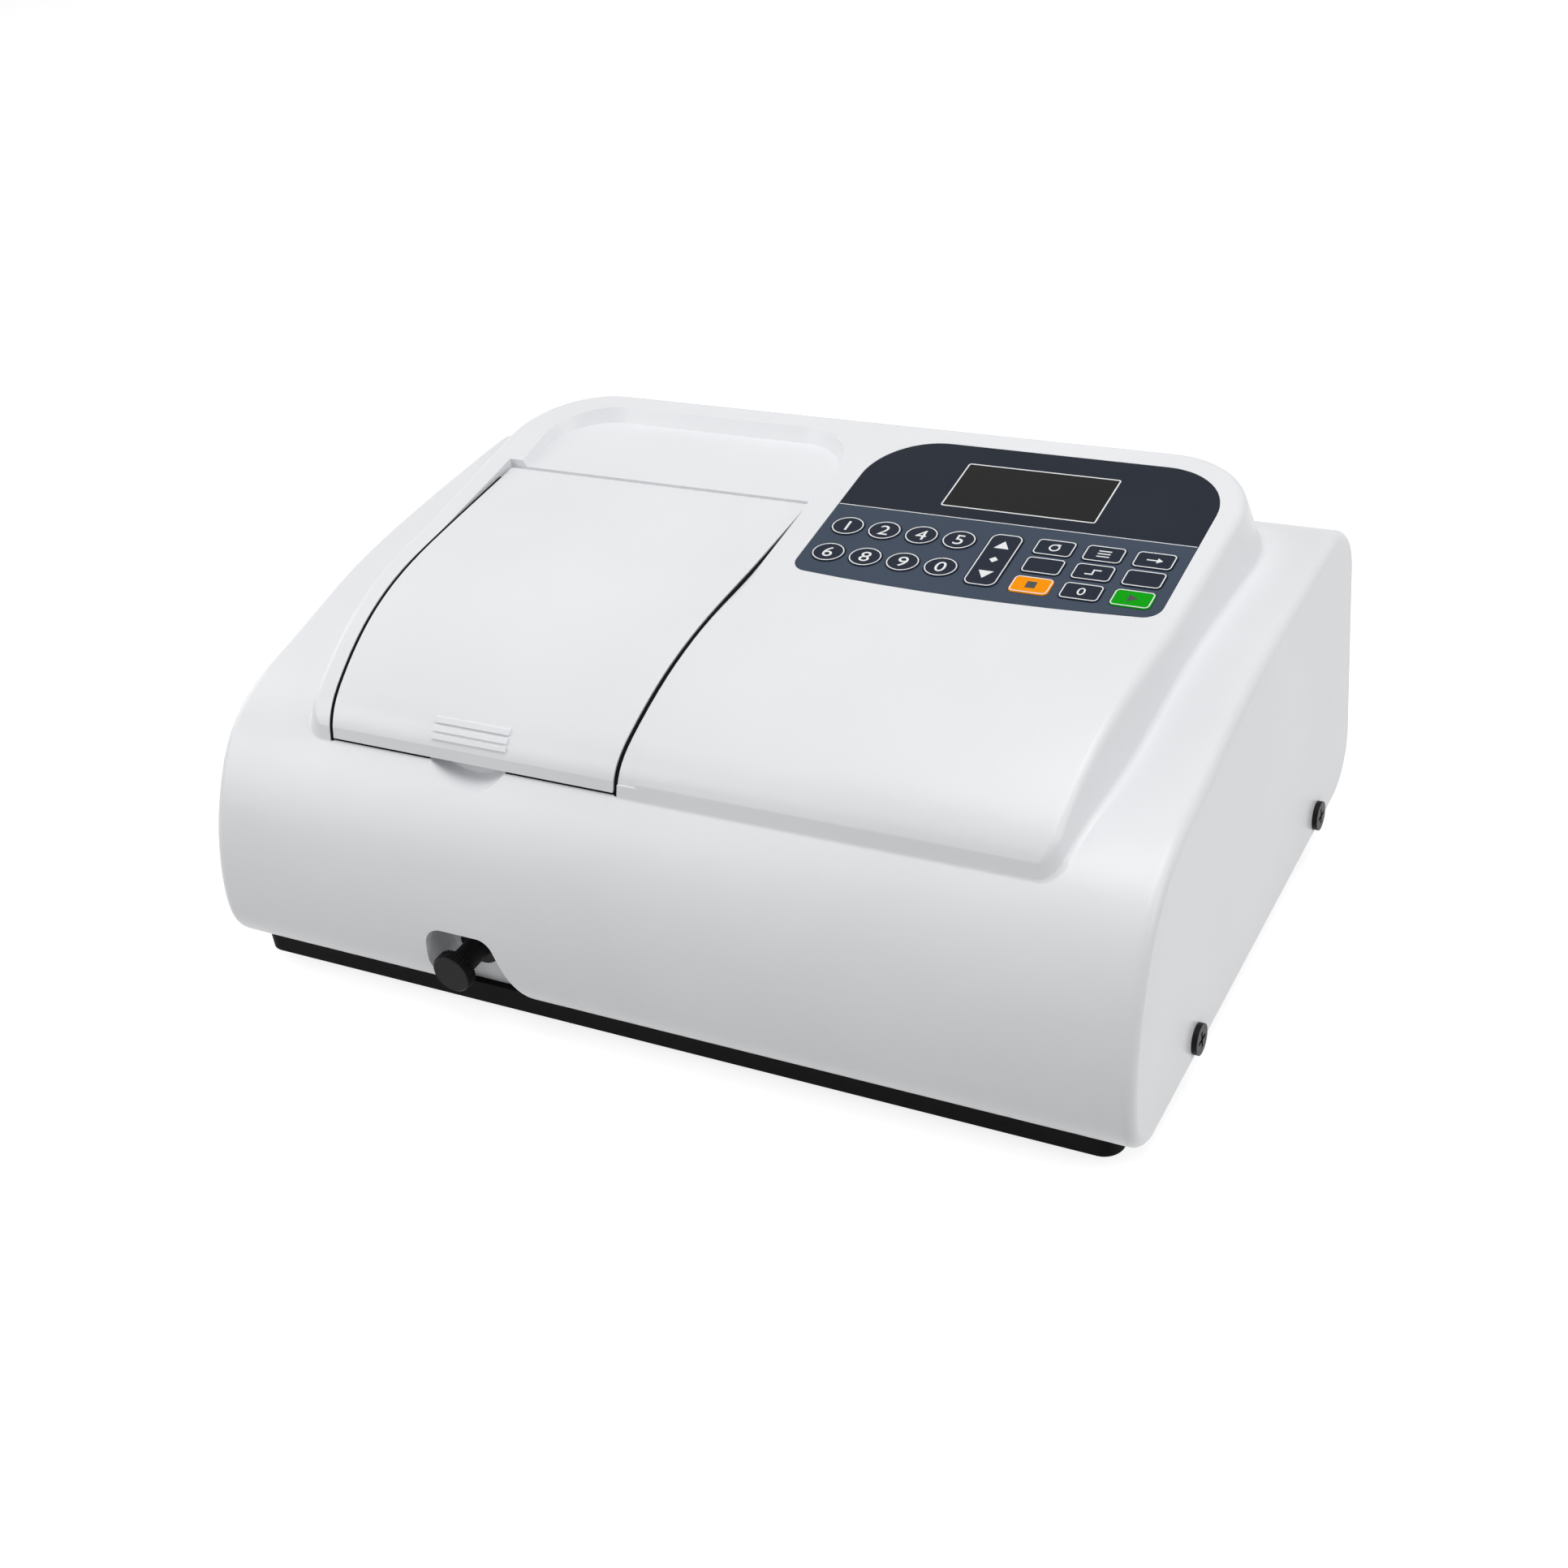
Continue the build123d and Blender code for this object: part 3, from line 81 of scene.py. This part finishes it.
# The dividing line, in millimetres as bar_shape takes them
DIVIDER_LINE = 0.45
DIVIDER_INSET = 0.3

# Light, and how little the dark surfaces shine
WORLD_LIGHT = 0.112
DARK_SHINE = 0.06
FLOOR_GLOW = 0.8
FLOOR_COLOUR = (0.62, 0.62, 0.625)
FLOOR_REACH = 8.0
LAMP_AIM = (0, 0, 0.1)
LAMPS = (
    ("upper_right", (1.2, 0.1, 1.7), 1.2, 5.8),
    ("overhead", (0.2, -0.1, 1.9), 1.4, 18.6),
    ("front_left", (-1.6, -1.4, 1.1), 1.2, 13.4),
    ("left", (-1.9, 0.1, 1.0), 1.2, 7.8),
    ("right", (1.9, -0.2, 0.9), 1.0, 7.2),
)


# Materials


class Nodes:
    """A material's node tree, with short calls to add nodes and links."""

    def __init__(self, name):
        self.material = bpy.data.materials.new(name)
        self.material.use_nodes = True
        self.tree = self.material.node_tree
        self.tree.nodes.clear()
        self.output = self.add("ShaderNodeOutputMaterial")
        self.shader = self.add("ShaderNodeBsdfPrincipled")
        self.link(self.shader, "BSDF", self.output, "Surface")
        self.place = self.add("ShaderNodeTexCoord")

    def add(self, kind, **values):
        node = self.tree.nodes.new(kind)
        for key, value in values.items():
            setattr(node, key, value)
        return node

    def link(self, source, out, target, into):
        self.tree.links.new(source.outputs[out], target.inputs[into])

    def set(self, **values):
        for key, value in values.items():
            self.shader.inputs[key.replace("_", " ")].default_value = value

    def noise(self, scale, detail=3.0, stretch=(1, 1, 1)):
        """Noise in the object's own metres; stretch draws it out along an axis."""
        mapping = self.add("ShaderNodeMapping")
        mapping.inputs["Scale"].default_value = [scale * part for part in stretch]
        self.link(self.place, "Object", mapping, "Vector")
        noise = self.add("ShaderNodeTexNoise")
        noise.inputs["Scale"].default_value = 1.0
        noise.inputs["Detail"].default_value = detail
        self.link(mapping, "Vector", noise, "Vector")
        return noise

    def ramp(self, source, out, low, high, places=(0.3, 0.7)):
        """Colour that runs from low to high with a value."""
        ramp = self.add("ShaderNodeValToRGB")
        for element, place, colour in zip(ramp.color_ramp.elements, places, (low, high)):
            element.position = place
            element.color = (*colour, 1)
        self.link(source, out, ramp, "Fac")
        return ramp

    def roughness(self, source, low, high):
        """Roughness that wanders between two values with a noise."""
        spread = self.add("ShaderNodeMapRange")
        spread.inputs["To Min"].default_value = low
        spread.inputs["To Max"].default_value = high
        self.link(source, "Fac", spread, "Value")
        self.link(spread, "Result", self.shader, "Roughness")

    def bump(self, source, out, strength, depth):
        """Relief of the given depth in metres."""
        bump = self.add("ShaderNodeBump")
        bump.inputs["Strength"].default_value = strength
        bump.inputs["Distance"].default_value = depth
        self.link(source, out, bump, "Height")
        self.link(bump, "Normal", self.shader, "Normal")
        return bump


def shade(colour, amount):
    """Colour made lighter or darker by a factor."""
    return tuple(min(1.0, part * amount) for part in colour)


def plastic(name, colour, rough=0.35, grain=1400, depth=0.00002, vary=0.03, coat=0.0, shine=0.5):
    """Moulded plastic: a fine spark-eroded grain and a slight drift of colour and gloss."""
    tree = Nodes(name)
    drift = tree.noise(9, 2)
    tone = tree.ramp(drift, "Fac", shade(colour, 1 - vary), shade(colour, 1 + vary / 2))
    tree.link(tone, "Color", tree.shader, "Base Color")
    tree.roughness(tree.noise(40, 4), rough - 0.04, rough + 0.04)
    tree.bump(tree.noise(grain, 4), "Fac", 0.25, depth)
    tree.set(Coat_Weight=coat, Coat_Roughness=0.2, Specular_IOR_Level=shine)
    return tree.material


def painted(name, colour, rough=0.45, metallic=0.0, grain=900, shine=0.5):
    """Powder coat: orange-peel relief, with a little dust-like variation."""
    tree = Nodes(name)
    drift = tree.noise(25, 4)
    tone = tree.ramp(drift, "Fac", shade(colour, 0.9), shade(colour, 1.15))
    tree.link(tone, "Color", tree.shader, "Base Color")
    tree.roughness(tree.noise(120, 3), rough - 0.06, rough + 0.08)
    tree.bump(tree.noise(grain, 2), "Fac", 0.5, 0.00004)
    tree.set(Metallic=metallic, Specular_IOR_Level=shine)
    return tree.material


def metal(name, colour, rough=0.3, stretch=(1, 1, 1), scale=400):
    """Machined or brushed metal, with tool marks drawn out along one axis."""
    tree = Nodes(name)
    marks = tree.noise(scale, 3, stretch)
    tone = tree.ramp(marks, "Fac", shade(colour, 0.85), shade(colour, 1.08))
    tree.link(tone, "Color", tree.shader, "Base Color")
    tree.roughness(marks, rough - 0.08, rough + 0.1)
    tree.bump(marks, "Fac", 0.3, 0.00002)
    tree.set(Metallic=1.0)
    return tree.material


def rubber(name, colour):
    """Matte rubber with a fine even grain."""
    tree = Nodes(name)
    tone = tree.ramp(tree.noise(60, 3), "Fac", shade(colour, 0.8), shade(colour, 1.3))
    tree.link(tone, "Color", tree.shader, "Base Color")
    tree.roughness(tree.noise(200, 3), 0.7, 0.88)
    tree.bump(tree.noise(2200, 2), "Fac", 0.4, 0.00003)
    tree.set(Specular_IOR_Level=DARK_SHINE)
    return tree.material


def clear(name, colour, rough=0.03):
    """Quartz glass."""
    tree = Nodes(name)
    tree.roughness(tree.noise(80, 2), rough, rough + 0.03)
    tree.set(Base_Color=(*colour, 1), Transmission_Weight=0.95, IOR=1.46)
    return tree.material


def circuit(name, colour):
    """Solder mask over copper traces, as a grid of lines broken up by noise."""
    tree = Nodes(name)
    mapping = tree.add("ShaderNodeMapping")
    mapping.inputs["Scale"].default_value = (350, 350, 350)
    tree.link(tree.place, "Object", mapping, "Vector")
    lines = tree.add("ShaderNodeTexBrick")
    lines.inputs["Color1"].default_value = (*shade(colour, 1.0), 1)
    lines.inputs["Color2"].default_value = (*shade(colour, 0.75), 1)
    lines.inputs["Mortar"].default_value = (*shade(colour, 1.9), 1)
    lines.inputs["Scale"].default_value = 1.0
    lines.inputs["Mortar Size"].default_value = 0.06
    tree.link(mapping, "Vector", lines, "Vector")
    tree.link(lines, "Color", tree.shader, "Base Color")
    tree.roughness(tree.noise(90, 2), 0.25, 0.4)
    tree.bump(lines, "Fac", 0.3, 0.00003)
    return tree.material


def panel_film():
    """Printed overlay: charcoal above the dividing line and slate below it."""
    tree = Nodes("overlay_film")
    split = tree.add("ShaderNodeSeparateXYZ")
    tree.link(tree.place, "Object", split, "Vector")
    above = tree.add("ShaderNodeMath", operation="GREATER_THAN")
    above.inputs[1].default_value = DIVIDER_Y
    tree.link(split, "Y", above, 0)
    slate = tree.ramp(tree.noise(14, 2), "Fac", (0.050, 0.068, 0.098), (0.057, 0.076, 0.109))
    charcoal = tree.ramp(tree.noise(14, 2), "Fac", (0.0142, 0.019, 0.0295), (0.0166, 0.0219, 0.0333))
    mix = tree.add("ShaderNodeMix", data_type="RGBA")
    tree.link(above, "Value", mix, "Factor")
    tree.tree.links.new(slate.outputs["Color"], mix.inputs[6])
    tree.tree.links.new(charcoal.outputs["Color"], mix.inputs[7])
    tree.tree.links.new(mix.outputs[2], tree.shader.inputs["Base Color"])
    tree.roughness(tree.noise(60, 3), 0.42, 0.5)
    tree.bump(tree.noise(2600, 3), "Fac", 0.25, 0.000015)
    tree.set(Specular_IOR_Level=DARK_SHINE)
    return tree.material


MATERIALS = {
    "cover_white": plastic("cover_white", (0.845, 0.855, 0.875), rough=0.34, coat=0.1),
    "base_black": painted("base_black", (0.004, 0.004, 0.0044), rough=0.6, shine=DARK_SHINE),
    "black_rubber": rubber("black_rubber", (0.004, 0.004, 0.0042)),
    "black_steel": painted("black_steel", (0.006, 0.006, 0.0065), rough=0.4, shine=0.15),
    "bright_steel": metal("bright_steel", (0.62, 0.62, 0.64), stretch=(1, 0.03, 1)),
    "black_anodised": painted(
        "black_anodised", (0.006, 0.006, 0.0065), rough=0.4, metallic=0.2, shine=DARK_SHINE,
    ),
    "knob_black": plastic(
        "knob_black", (0.004, 0.004, 0.0044), rough=0.42, grain=900, depth=0.00003, vary=0.2, shine=0.12,
    ),
    "overlay_slate": panel_film(),
    "display_glass": plastic(
        "display_glass", (0.0125, 0.0123, 0.0125), rough=0.3, grain=3000, depth=0.000004, shine=DARK_SHINE,
    ),
    "circuit_green": circuit("circuit_green", (0.02, 0.13, 0.05)),
    "key_dark": plastic("key_dark", (0.017, 0.023, 0.038), rough=0.4, grain=2200, shine=DARK_SHINE),
    "key_orange": plastic("key_orange", (1.0, 0.32, 0.002), rough=0.4, grain=2200, shine=DARK_SHINE),
    "key_green": plastic("key_green", (0.001, 0.36, 0.002), rough=0.4, grain=2200, shine=DARK_SHINE),
    "cast_aluminium": metal("cast_aluminium", (0.62, 0.63, 0.65), rough=0.42, scale=260),
    "mirror_coat": metal("mirror_coat", (0.9, 0.9, 0.93), rough=0.12, scale=60),
    "quartz": clear("quartz", (0.93, 0.97, 1.0)),
    "sheet_grey": painted("sheet_grey", (0.42, 0.43, 0.45), rough=0.4),
    "acetal_white": plastic("acetal_white", (0.80, 0.80, 0.78), rough=0.45),
    "motor_black": painted("motor_black", (0.02, 0.02, 0.022), rough=0.45),
    "black_plastic": plastic(
        "black_plastic", (0.007, 0.007, 0.0077), rough=0.45, grain=1100, vary=0.15, shine=DARK_SHINE,
    ),
    "port_steel": metal("port_steel", (0.7, 0.7, 0.72), rough=0.22),
}
INK_WHITE = plastic("ink_white", (0.86, 0.87, 0.88), rough=0.5, grain=3000, depth=0.000004)
INK_DARK = plastic("ink_dark", (0.03, 0.032, 0.036), rough=0.5, grain=3000, depth=0.000004)

for entry in record["subparts"]:
    node = nodes[entry["node"]]
    node.data.materials.clear()
    node.data.materials.append(MATERIALS[entry["material_slot"]])


# The control panel's own directions

press_axis = next(Vector(joint["axis"]) for joint in frame["joints"] if joint["name"] == "key_1_press")
NORMAL = -press_axis.normalized()
ACROSS = Vector((1, 0, 0))
UPWARD = NORMAL.cross(ACROSS)
overlay_low, overlay_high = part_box("control_overlay")
PANEL_ORIGIN = Vector((
    (overlay_low.x + overlay_high.x) / 2, overlay_high.y + NORMAL.y * OVERLAY_THICK, overlay_high.z,
))


def panel_basis(x, y):
    """Matrix that stands at a place on the panel, given by x and y, with z along its normal."""
    rise = (y - PANEL_ORIGIN.y) / UPWARD.y
    place = PANEL_ORIGIN + UPWARD * rise
    place.x = x
    return Matrix((
        (ACROSS.x, UPWARD.x, NORMAL.x, place.x),
        (ACROSS.y, UPWARD.y, NORMAL.y, place.y),
        (ACROSS.z, UPWARD.z, NORMAL.z, place.z),
        (0, 0, 0, 1),
    ))


def key_top(node):
    """Matrix on the middle of a key's top face, and the face's half width and half height."""
    points = [vertex.co for vertex in nodes[node].data.vertices]
    peak = max(point.dot(NORMAL) for point in points)
    top = [point for point in points if point.dot(NORMAL) > peak - 0.02 * MM]
    widths = [point.dot(ACROSS) for point in top]
    heights = [point.dot(UPWARD) for point in top]
    middle = (
        ACROSS * (min(widths) + max(widths)) / 2
        + UPWARD * (min(heights) + max(heights)) / 2 + NORMAL * peak
    )
    basis = Matrix((
        (ACROSS.x, UPWARD.x, NORMAL.x, middle.x),
        (ACROSS.y, UPWARD.y, NORMAL.y, middle.y),
        (ACROSS.z, UPWARD.z, NORMAL.z, middle.z),
        (0, 0, 0, 1),
    ))
    return basis, (max(widths) - min(widths)) / 2, (max(heights) - min(heights)) / 2


# Outlines, as lists of points in the panel's plane


def rounded_rectangle(half_width, half_height, corner):
    """Points round a rectangle with round corners, anticlockwise."""
    points = []
    for turn, (side_x, side_y) in enumerate(((1, 1), (-1, 1), (-1, -1), (1, -1))):
        for step in range(CORNER_STEPS + 1):
            angle = (turn + step / CORNER_STEPS) * pi / 2
            points.append((
                side_x * (half_width - corner) + corner * cos(angle),
                side_y * (half_height - corner) + corner * sin(angle),
            ))
    return points


def ellipse(half_width, half_height):
    """Points round an ellipse, anticlockwise."""
    turns = [2 * pi * step / ROUND_STEPS for step in range(ROUND_STEPS)]
    return [(half_width * cos(turn), half_height * sin(turn)) for turn in turns]


def finish_piece(mesh, name, basis, body, material):
    """Makes an object of a mesh, in place and riding on its body."""
    mesh.transform(basis)
    piece = bpy.data.objects.new(name, mesh)
    bpy.context.scene.collection.objects.link(piece)
    mesh.materials.append(material)
    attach(piece, body)
    return piece


def printed(name, shapes, basis, body, material=None):
    """Layer of ink: each shape is an outline, or an outline and the hole in it."""
    form = bmesh.new()
    for shape in shapes:
        outer, inner = shape if isinstance(shape, tuple) else (shape, None)
        rings = []
        for height in (INK_LIFT, INK_THICK):
            rings.append([form.verts.new((x, y, height)) for x, y in outer])
        hole = []
        if inner:
            for height in (INK_LIFT, INK_THICK):
                hole.append([form.verts.new((x, y, height)) for x, y in inner])
        count = len(outer)
        for step in range(count):
            after = (step + 1) % count
            form.faces.new((rings[0][step], rings[0][after], rings[1][after], rings[1][step]))
            if inner:
                form.faces.new((hole[0][after], hole[0][step], hole[1][step], hole[1][after]))
                form.faces.new((rings[1][step], rings[1][after], hole[1][after], hole[1][step]))
        if not inner:
            form.faces.new(rings[1])
    mesh = bpy.data.meshes.new(name)
    form.to_mesh(mesh)
    form.free()
    return finish_piece(mesh, name, basis, body, material or INK_WHITE)


def frame_lines(half_width, half_height, corner, line, inward=True):
    """Rectangle's outline of a given line width, inside or outside the given size."""
    grow = 0 if inward else line
    outer = rounded_rectangle(half_width + grow, half_height + grow, corner + grow)
    inner_width = half_width + grow - line
    inner_height = half_height + grow - line
    inner = rounded_rectangle(inner_width, inner_height, max(corner + grow - line, LEAST_CORNER))
    return outer, inner


def digit(text, height, name, basis, body):
    """Number as a thin printed mesh, centred on its place."""
    curve = bpy.data.curves.new(name, "FONT")
    curve.body = text
    curve.size = height * TEXT_SIZE
    curve.align_x = "CENTER"
    curve.align_y = "CENTER"
    curve.extrude = INK_THICK / 2
    curve.offset = DIGIT_STROKE
    curve.resolution_u = 6
    shape = bpy.data.objects.new(name + "_text", curve)
    bpy.context.scene.collection.objects.link(shape)
    bpy.context.view_layer.update()
    mesh = bpy.data.meshes.new_from_object(shape.evaluated_get(bpy.context.evaluated_depsgraph_get()))
    mesh.name = name
    bpy.data.objects.remove(shape)
    xs = [vertex.co.x for vertex in mesh.vertices]
    ys = [vertex.co.y for vertex in mesh.vertices]
    wide = Matrix.Diagonal((DIGIT_STRETCH, 1, 1, 1))
    centre = Matrix.Translation((-(min(xs) + max(xs)) / 2, -(min(ys) + max(ys)) / 2, INK_THICK / 2))
    mesh.transform(wide @ centre)
    mesh.materials.clear()
    return finish_piece(mesh, name, basis, body, INK_WHITE)


def add_digit_keys():
    for text in DIGITS:
        node = "key_" + text
        basis, half_width, half_height = key_top(node)
        half_width -= RING_INSET
        half_height -= RING_INSET
        outer = ellipse(half_width, half_height)
        inner = ellipse(half_width - OUTLINE, half_height - OUTLINE)
        printed(node + "_ring", [(outer, inner)], basis, node)
        digit(text, DIGIT_HEIGHT, node + "_digit", basis, node)


def add_rocker_signs():
    basis, half_width, half_height = key_top("arrow_rocker")
    outline = frame_lines(half_width - ROCKER_INSET, half_height - ROCKER_INSET, ROCKER_CORNER, OUTLINE)
    printed("rocker_outline", [outline], basis, "arrow_rocker")
    tip, foot, spread = 14.2 * MM, 8.6 * MM, 3.6 * MM
    small = 2.1 * MM
    up = [(-spread, foot), (spread, foot), (0, tip)]
    down = [(spread, -foot), (-spread, -foot), (0, -tip)]
    diamond = [(small, 0), (0, small), (-small, 0), (0, -small)]
    printed("rocker_arrows", [up, down, diamond], basis, "arrow_rocker")


def scaled(*points):
    """Points given in millimetres, in metres."""
    return [(x * MM, y * MM) for x, y in points]


def bar_shape(x0, y0, x1, y1, width):
    """Straight stroke between two places, all in millimetres."""
    along = Vector((x1 - x0, y1 - y0)).normalized()
    side = Vector((-along.y, along.x)) * width / 2
    start, end = Vector((x0, y0)), Vector((x1, y1))
    return scaled(start - side, end - side, end + side, start + side)


def sign_shapes(kind):
    """Generic sign for a function key, in its own plane."""
    if kind == "loop":
        ring = (ellipse(2.6 * MM, 2.6 * MM), ellipse(1.8 * MM, 1.8 * MM))
        return [ring, scaled((2.4, 2.6), (0.6, 2.9), (2.2, 0.7))]
    if kind == "bars":
        return [bar_shape(-3, level, 3, level, 0.75) for level in (-2, 0, 2)]
    if kind == "arrow":
        return [bar_shape(-3.6, 0, 1.2, 0, 0.8), scaled((1.2, -1.9), (3.8, 0), (1.2, 1.9))]
    if kind == "step":
        return [
            bar_shape(-3.4, -1.6, -0.4, -1.6, 0.8), bar_shape(0, -2.0, 0, 2.0, 0.8),
            bar_shape(0.4, 1.6, 3.4, 1.6, 0.8),
        ]
    if kind == "start":
        return [scaled((-2.0, -2.6), (2.6, 0), (-2.0, 2.6))]
    if kind == "stop":
        return [rounded_rectangle(2.3 * MM, 2.3 * MM, 0.3 * MM)]
    return []


FUNCTION_SIGNS = {1: "loop", 2: "bars", 3: "arrow", 5: "step", 7: "stop", 9: "start"}
DARK_SIGNS = (7, 9)


def add_function_keys():
    for number in range(1, 10):
        node = f"function_key_{number}"
        basis, half_width, half_height = key_top(node)
        half_width -= FUNCTION_INSET
        half_height -= FUNCTION_INSET
        outline = frame_lines(half_width, half_height, FUNCTION_CORNER, OUTLINE)
        printed(node + "_outline", [outline], basis, node)
        kind = FUNCTION_SIGNS.get(number)
        ink = INK_DARK if number in DARK_SIGNS else INK_WHITE
        if kind:
            printed(node + "_sign", sign_shapes(kind), basis, node, material=ink)
    basis = key_top("function_key_8")[0]
    digit("0", SMALL_DIGIT_HEIGHT, "function_key_8_digit", basis, "function_key_8")


def add_panel_lines():
    low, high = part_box("display_window")
    middle_x = (low.x + high.x) / 2
    middle_y = (low.y + high.y) / 2
    half_width = (high.x - low.x) / 2 + SCREEN_MARGIN
    half_height = (high.y - low.y) / 2 / UPWARD.y + SCREEN_MARGIN
    frame_shape = frame_lines(half_width, half_height, SCREEN_CORNER, SCREEN_LINE, inward=False)
    printed("screen_outline", [frame_shape], panel_basis(middle_x, middle_y), "cabinet")
    reach = (overlay_high.x - overlay_low.x) / 2 / MM - DIVIDER_INSET
    line = bar_shape(-reach, 0, reach, 0, DIVIDER_LINE)
    printed("panel_divider", [line], panel_basis(PANEL_ORIGIN.x, DIVIDER_Y), "cabinet")


# Stage: floor, lamps, surroundings and camera


def seen_directly(tree):
    """Output that is 1 for rays from the camera, off a gloss and through glass, and 0 otherwise."""
    path = tree.nodes.new("ShaderNodeLightPath")
    most = path.outputs["Is Camera Ray"]
    for kind in ("Is Glossy Ray", "Is Transmission Ray"):
        pick = tree.nodes.new("ShaderNodeMath")
        pick.operation = "MAXIMUM"
        tree.links.new(most, pick.inputs[0])
        tree.links.new(path.outputs[kind], pick.inputs[1])
        most = pick.outputs[0]
    return most


def add_floor():
    mesh = bpy.data.meshes.new("floor")
    corners = [(x * FLOOR_REACH, y * FLOOR_REACH, 0) for x, y in ((-1, -1), (1, -1), (1, 1), (-1, 1))]
    mesh.from_pydata(corners, [], [(0, 1, 2, 3)])
    floor = bpy.data.objects.new("floor", mesh)
    bpy.context.scene.collection.objects.link(floor)
    tree = Nodes("floor_white")
    tree.set(Base_Color=(*FLOOR_COLOUR, 1), Roughness=0.9, Specular_IOR_Level=0.1)
    glow = tree.add("ShaderNodeEmission")
    glow.inputs["Color"].default_value = (1, 1, 1, 1)
    seen = tree.add("ShaderNodeMath", operation="MULTIPLY")
    seen.inputs[1].default_value = FLOOR_GLOW
    tree.tree.links.new(seen_directly(tree.tree), seen.inputs[0])
    tree.link(seen, "Value", glow, "Strength")
    both = tree.add("ShaderNodeAddShader")
    tree.tree.links.new(tree.shader.outputs["BSDF"], both.inputs[0])
    tree.tree.links.new(glow.outputs["Emission"], both.inputs[1])
    tree.link(both, "Shader", tree.output, "Surface")
    mesh.materials.append(tree.material)


def add_lamp(name, place, size, power):
    light = bpy.data.lights.new(name, "AREA")
    light.shape = "RECTANGLE"
    light.size = size
    light.size_y = size
    light.energy = power
    lamp = bpy.data.objects.new(name, light)
    lamp.location = place
    direction = Vector(LAMP_AIM) - Vector(place)
    lamp.rotation_euler = direction.to_track_quat("-Z", "Y").to_euler()
    bpy.context.scene.collection.objects.link(lamp)


def add_world():
    world = bpy.data.worlds.new("studio")
    bpy.context.scene.world = world
    world.use_nodes = True
    tree = world.node_tree
    tree.nodes.clear()
    output = tree.nodes.new("ShaderNodeOutputWorld")
    shown = tree.nodes.new("ShaderNodeBackground")
    shown.inputs["Strength"].default_value = 1.0
    shown.inputs["Color"].default_value = (1, 1, 1, 1)
    around = tree.nodes.new("ShaderNodeBackground")
    around.inputs["Strength"].default_value = WORLD_LIGHT
    around.inputs["Color"].default_value = (1, 1, 1, 1)
    mix = tree.nodes.new("ShaderNodeMixShader")
    tree.links.new(seen_directly(tree), mix.inputs["Fac"])
    tree.links.new(around.outputs["Background"], mix.inputs[1])
    tree.links.new(shown.outputs["Background"], mix.inputs[2])
    tree.links.new(mix.outputs["Shader"], output.inputs["Surface"])


def add_camera():
    back = Vector((
        sin(CAMERA_YAW) * cos(CAMERA_PITCH), -cos(CAMERA_YAW) * cos(CAMERA_PITCH), sin(CAMERA_PITCH),
    ))
    level = Vector((cos(CAMERA_YAW), sin(CAMERA_YAW), 0))
    up = back.cross(level)
    right = cos(CAMERA_ROLL) * level + sin(CAMERA_ROLL) * up
    upright = cos(CAMERA_ROLL) * up - sin(CAMERA_ROLL) * level
    data = bpy.data.cameras.new("camera")
    data.lens = CAMERA_LENS
    data.sensor_width = CAMERA_SENSOR
    data.clip_end = 50
    camera = bpy.data.objects.new("camera", data)
    camera.matrix_world = Matrix((
        (right.x, upright.x, back.x, CAMERA_PLACE[0]),
        (right.y, upright.y, back.y, CAMERA_PLACE[1]),
        (right.z, upright.z, back.z, CAMERA_PLACE[2]),
        (0, 0, 0, 1),
    ))
    bpy.context.scene.collection.objects.link(camera)
    bpy.context.scene.camera = camera


add_digit_keys()
add_rocker_signs()
add_function_keys()
add_panel_lines()
add_floor()
add_world()
for lamp_name, lamp_place, lamp_size, lamp_power in LAMPS:
    add_lamp(lamp_name, lamp_place, lamp_size, lamp_power)
add_camera()

scene = bpy.context.scene
scene.view_settings.view_transform = "Standard"
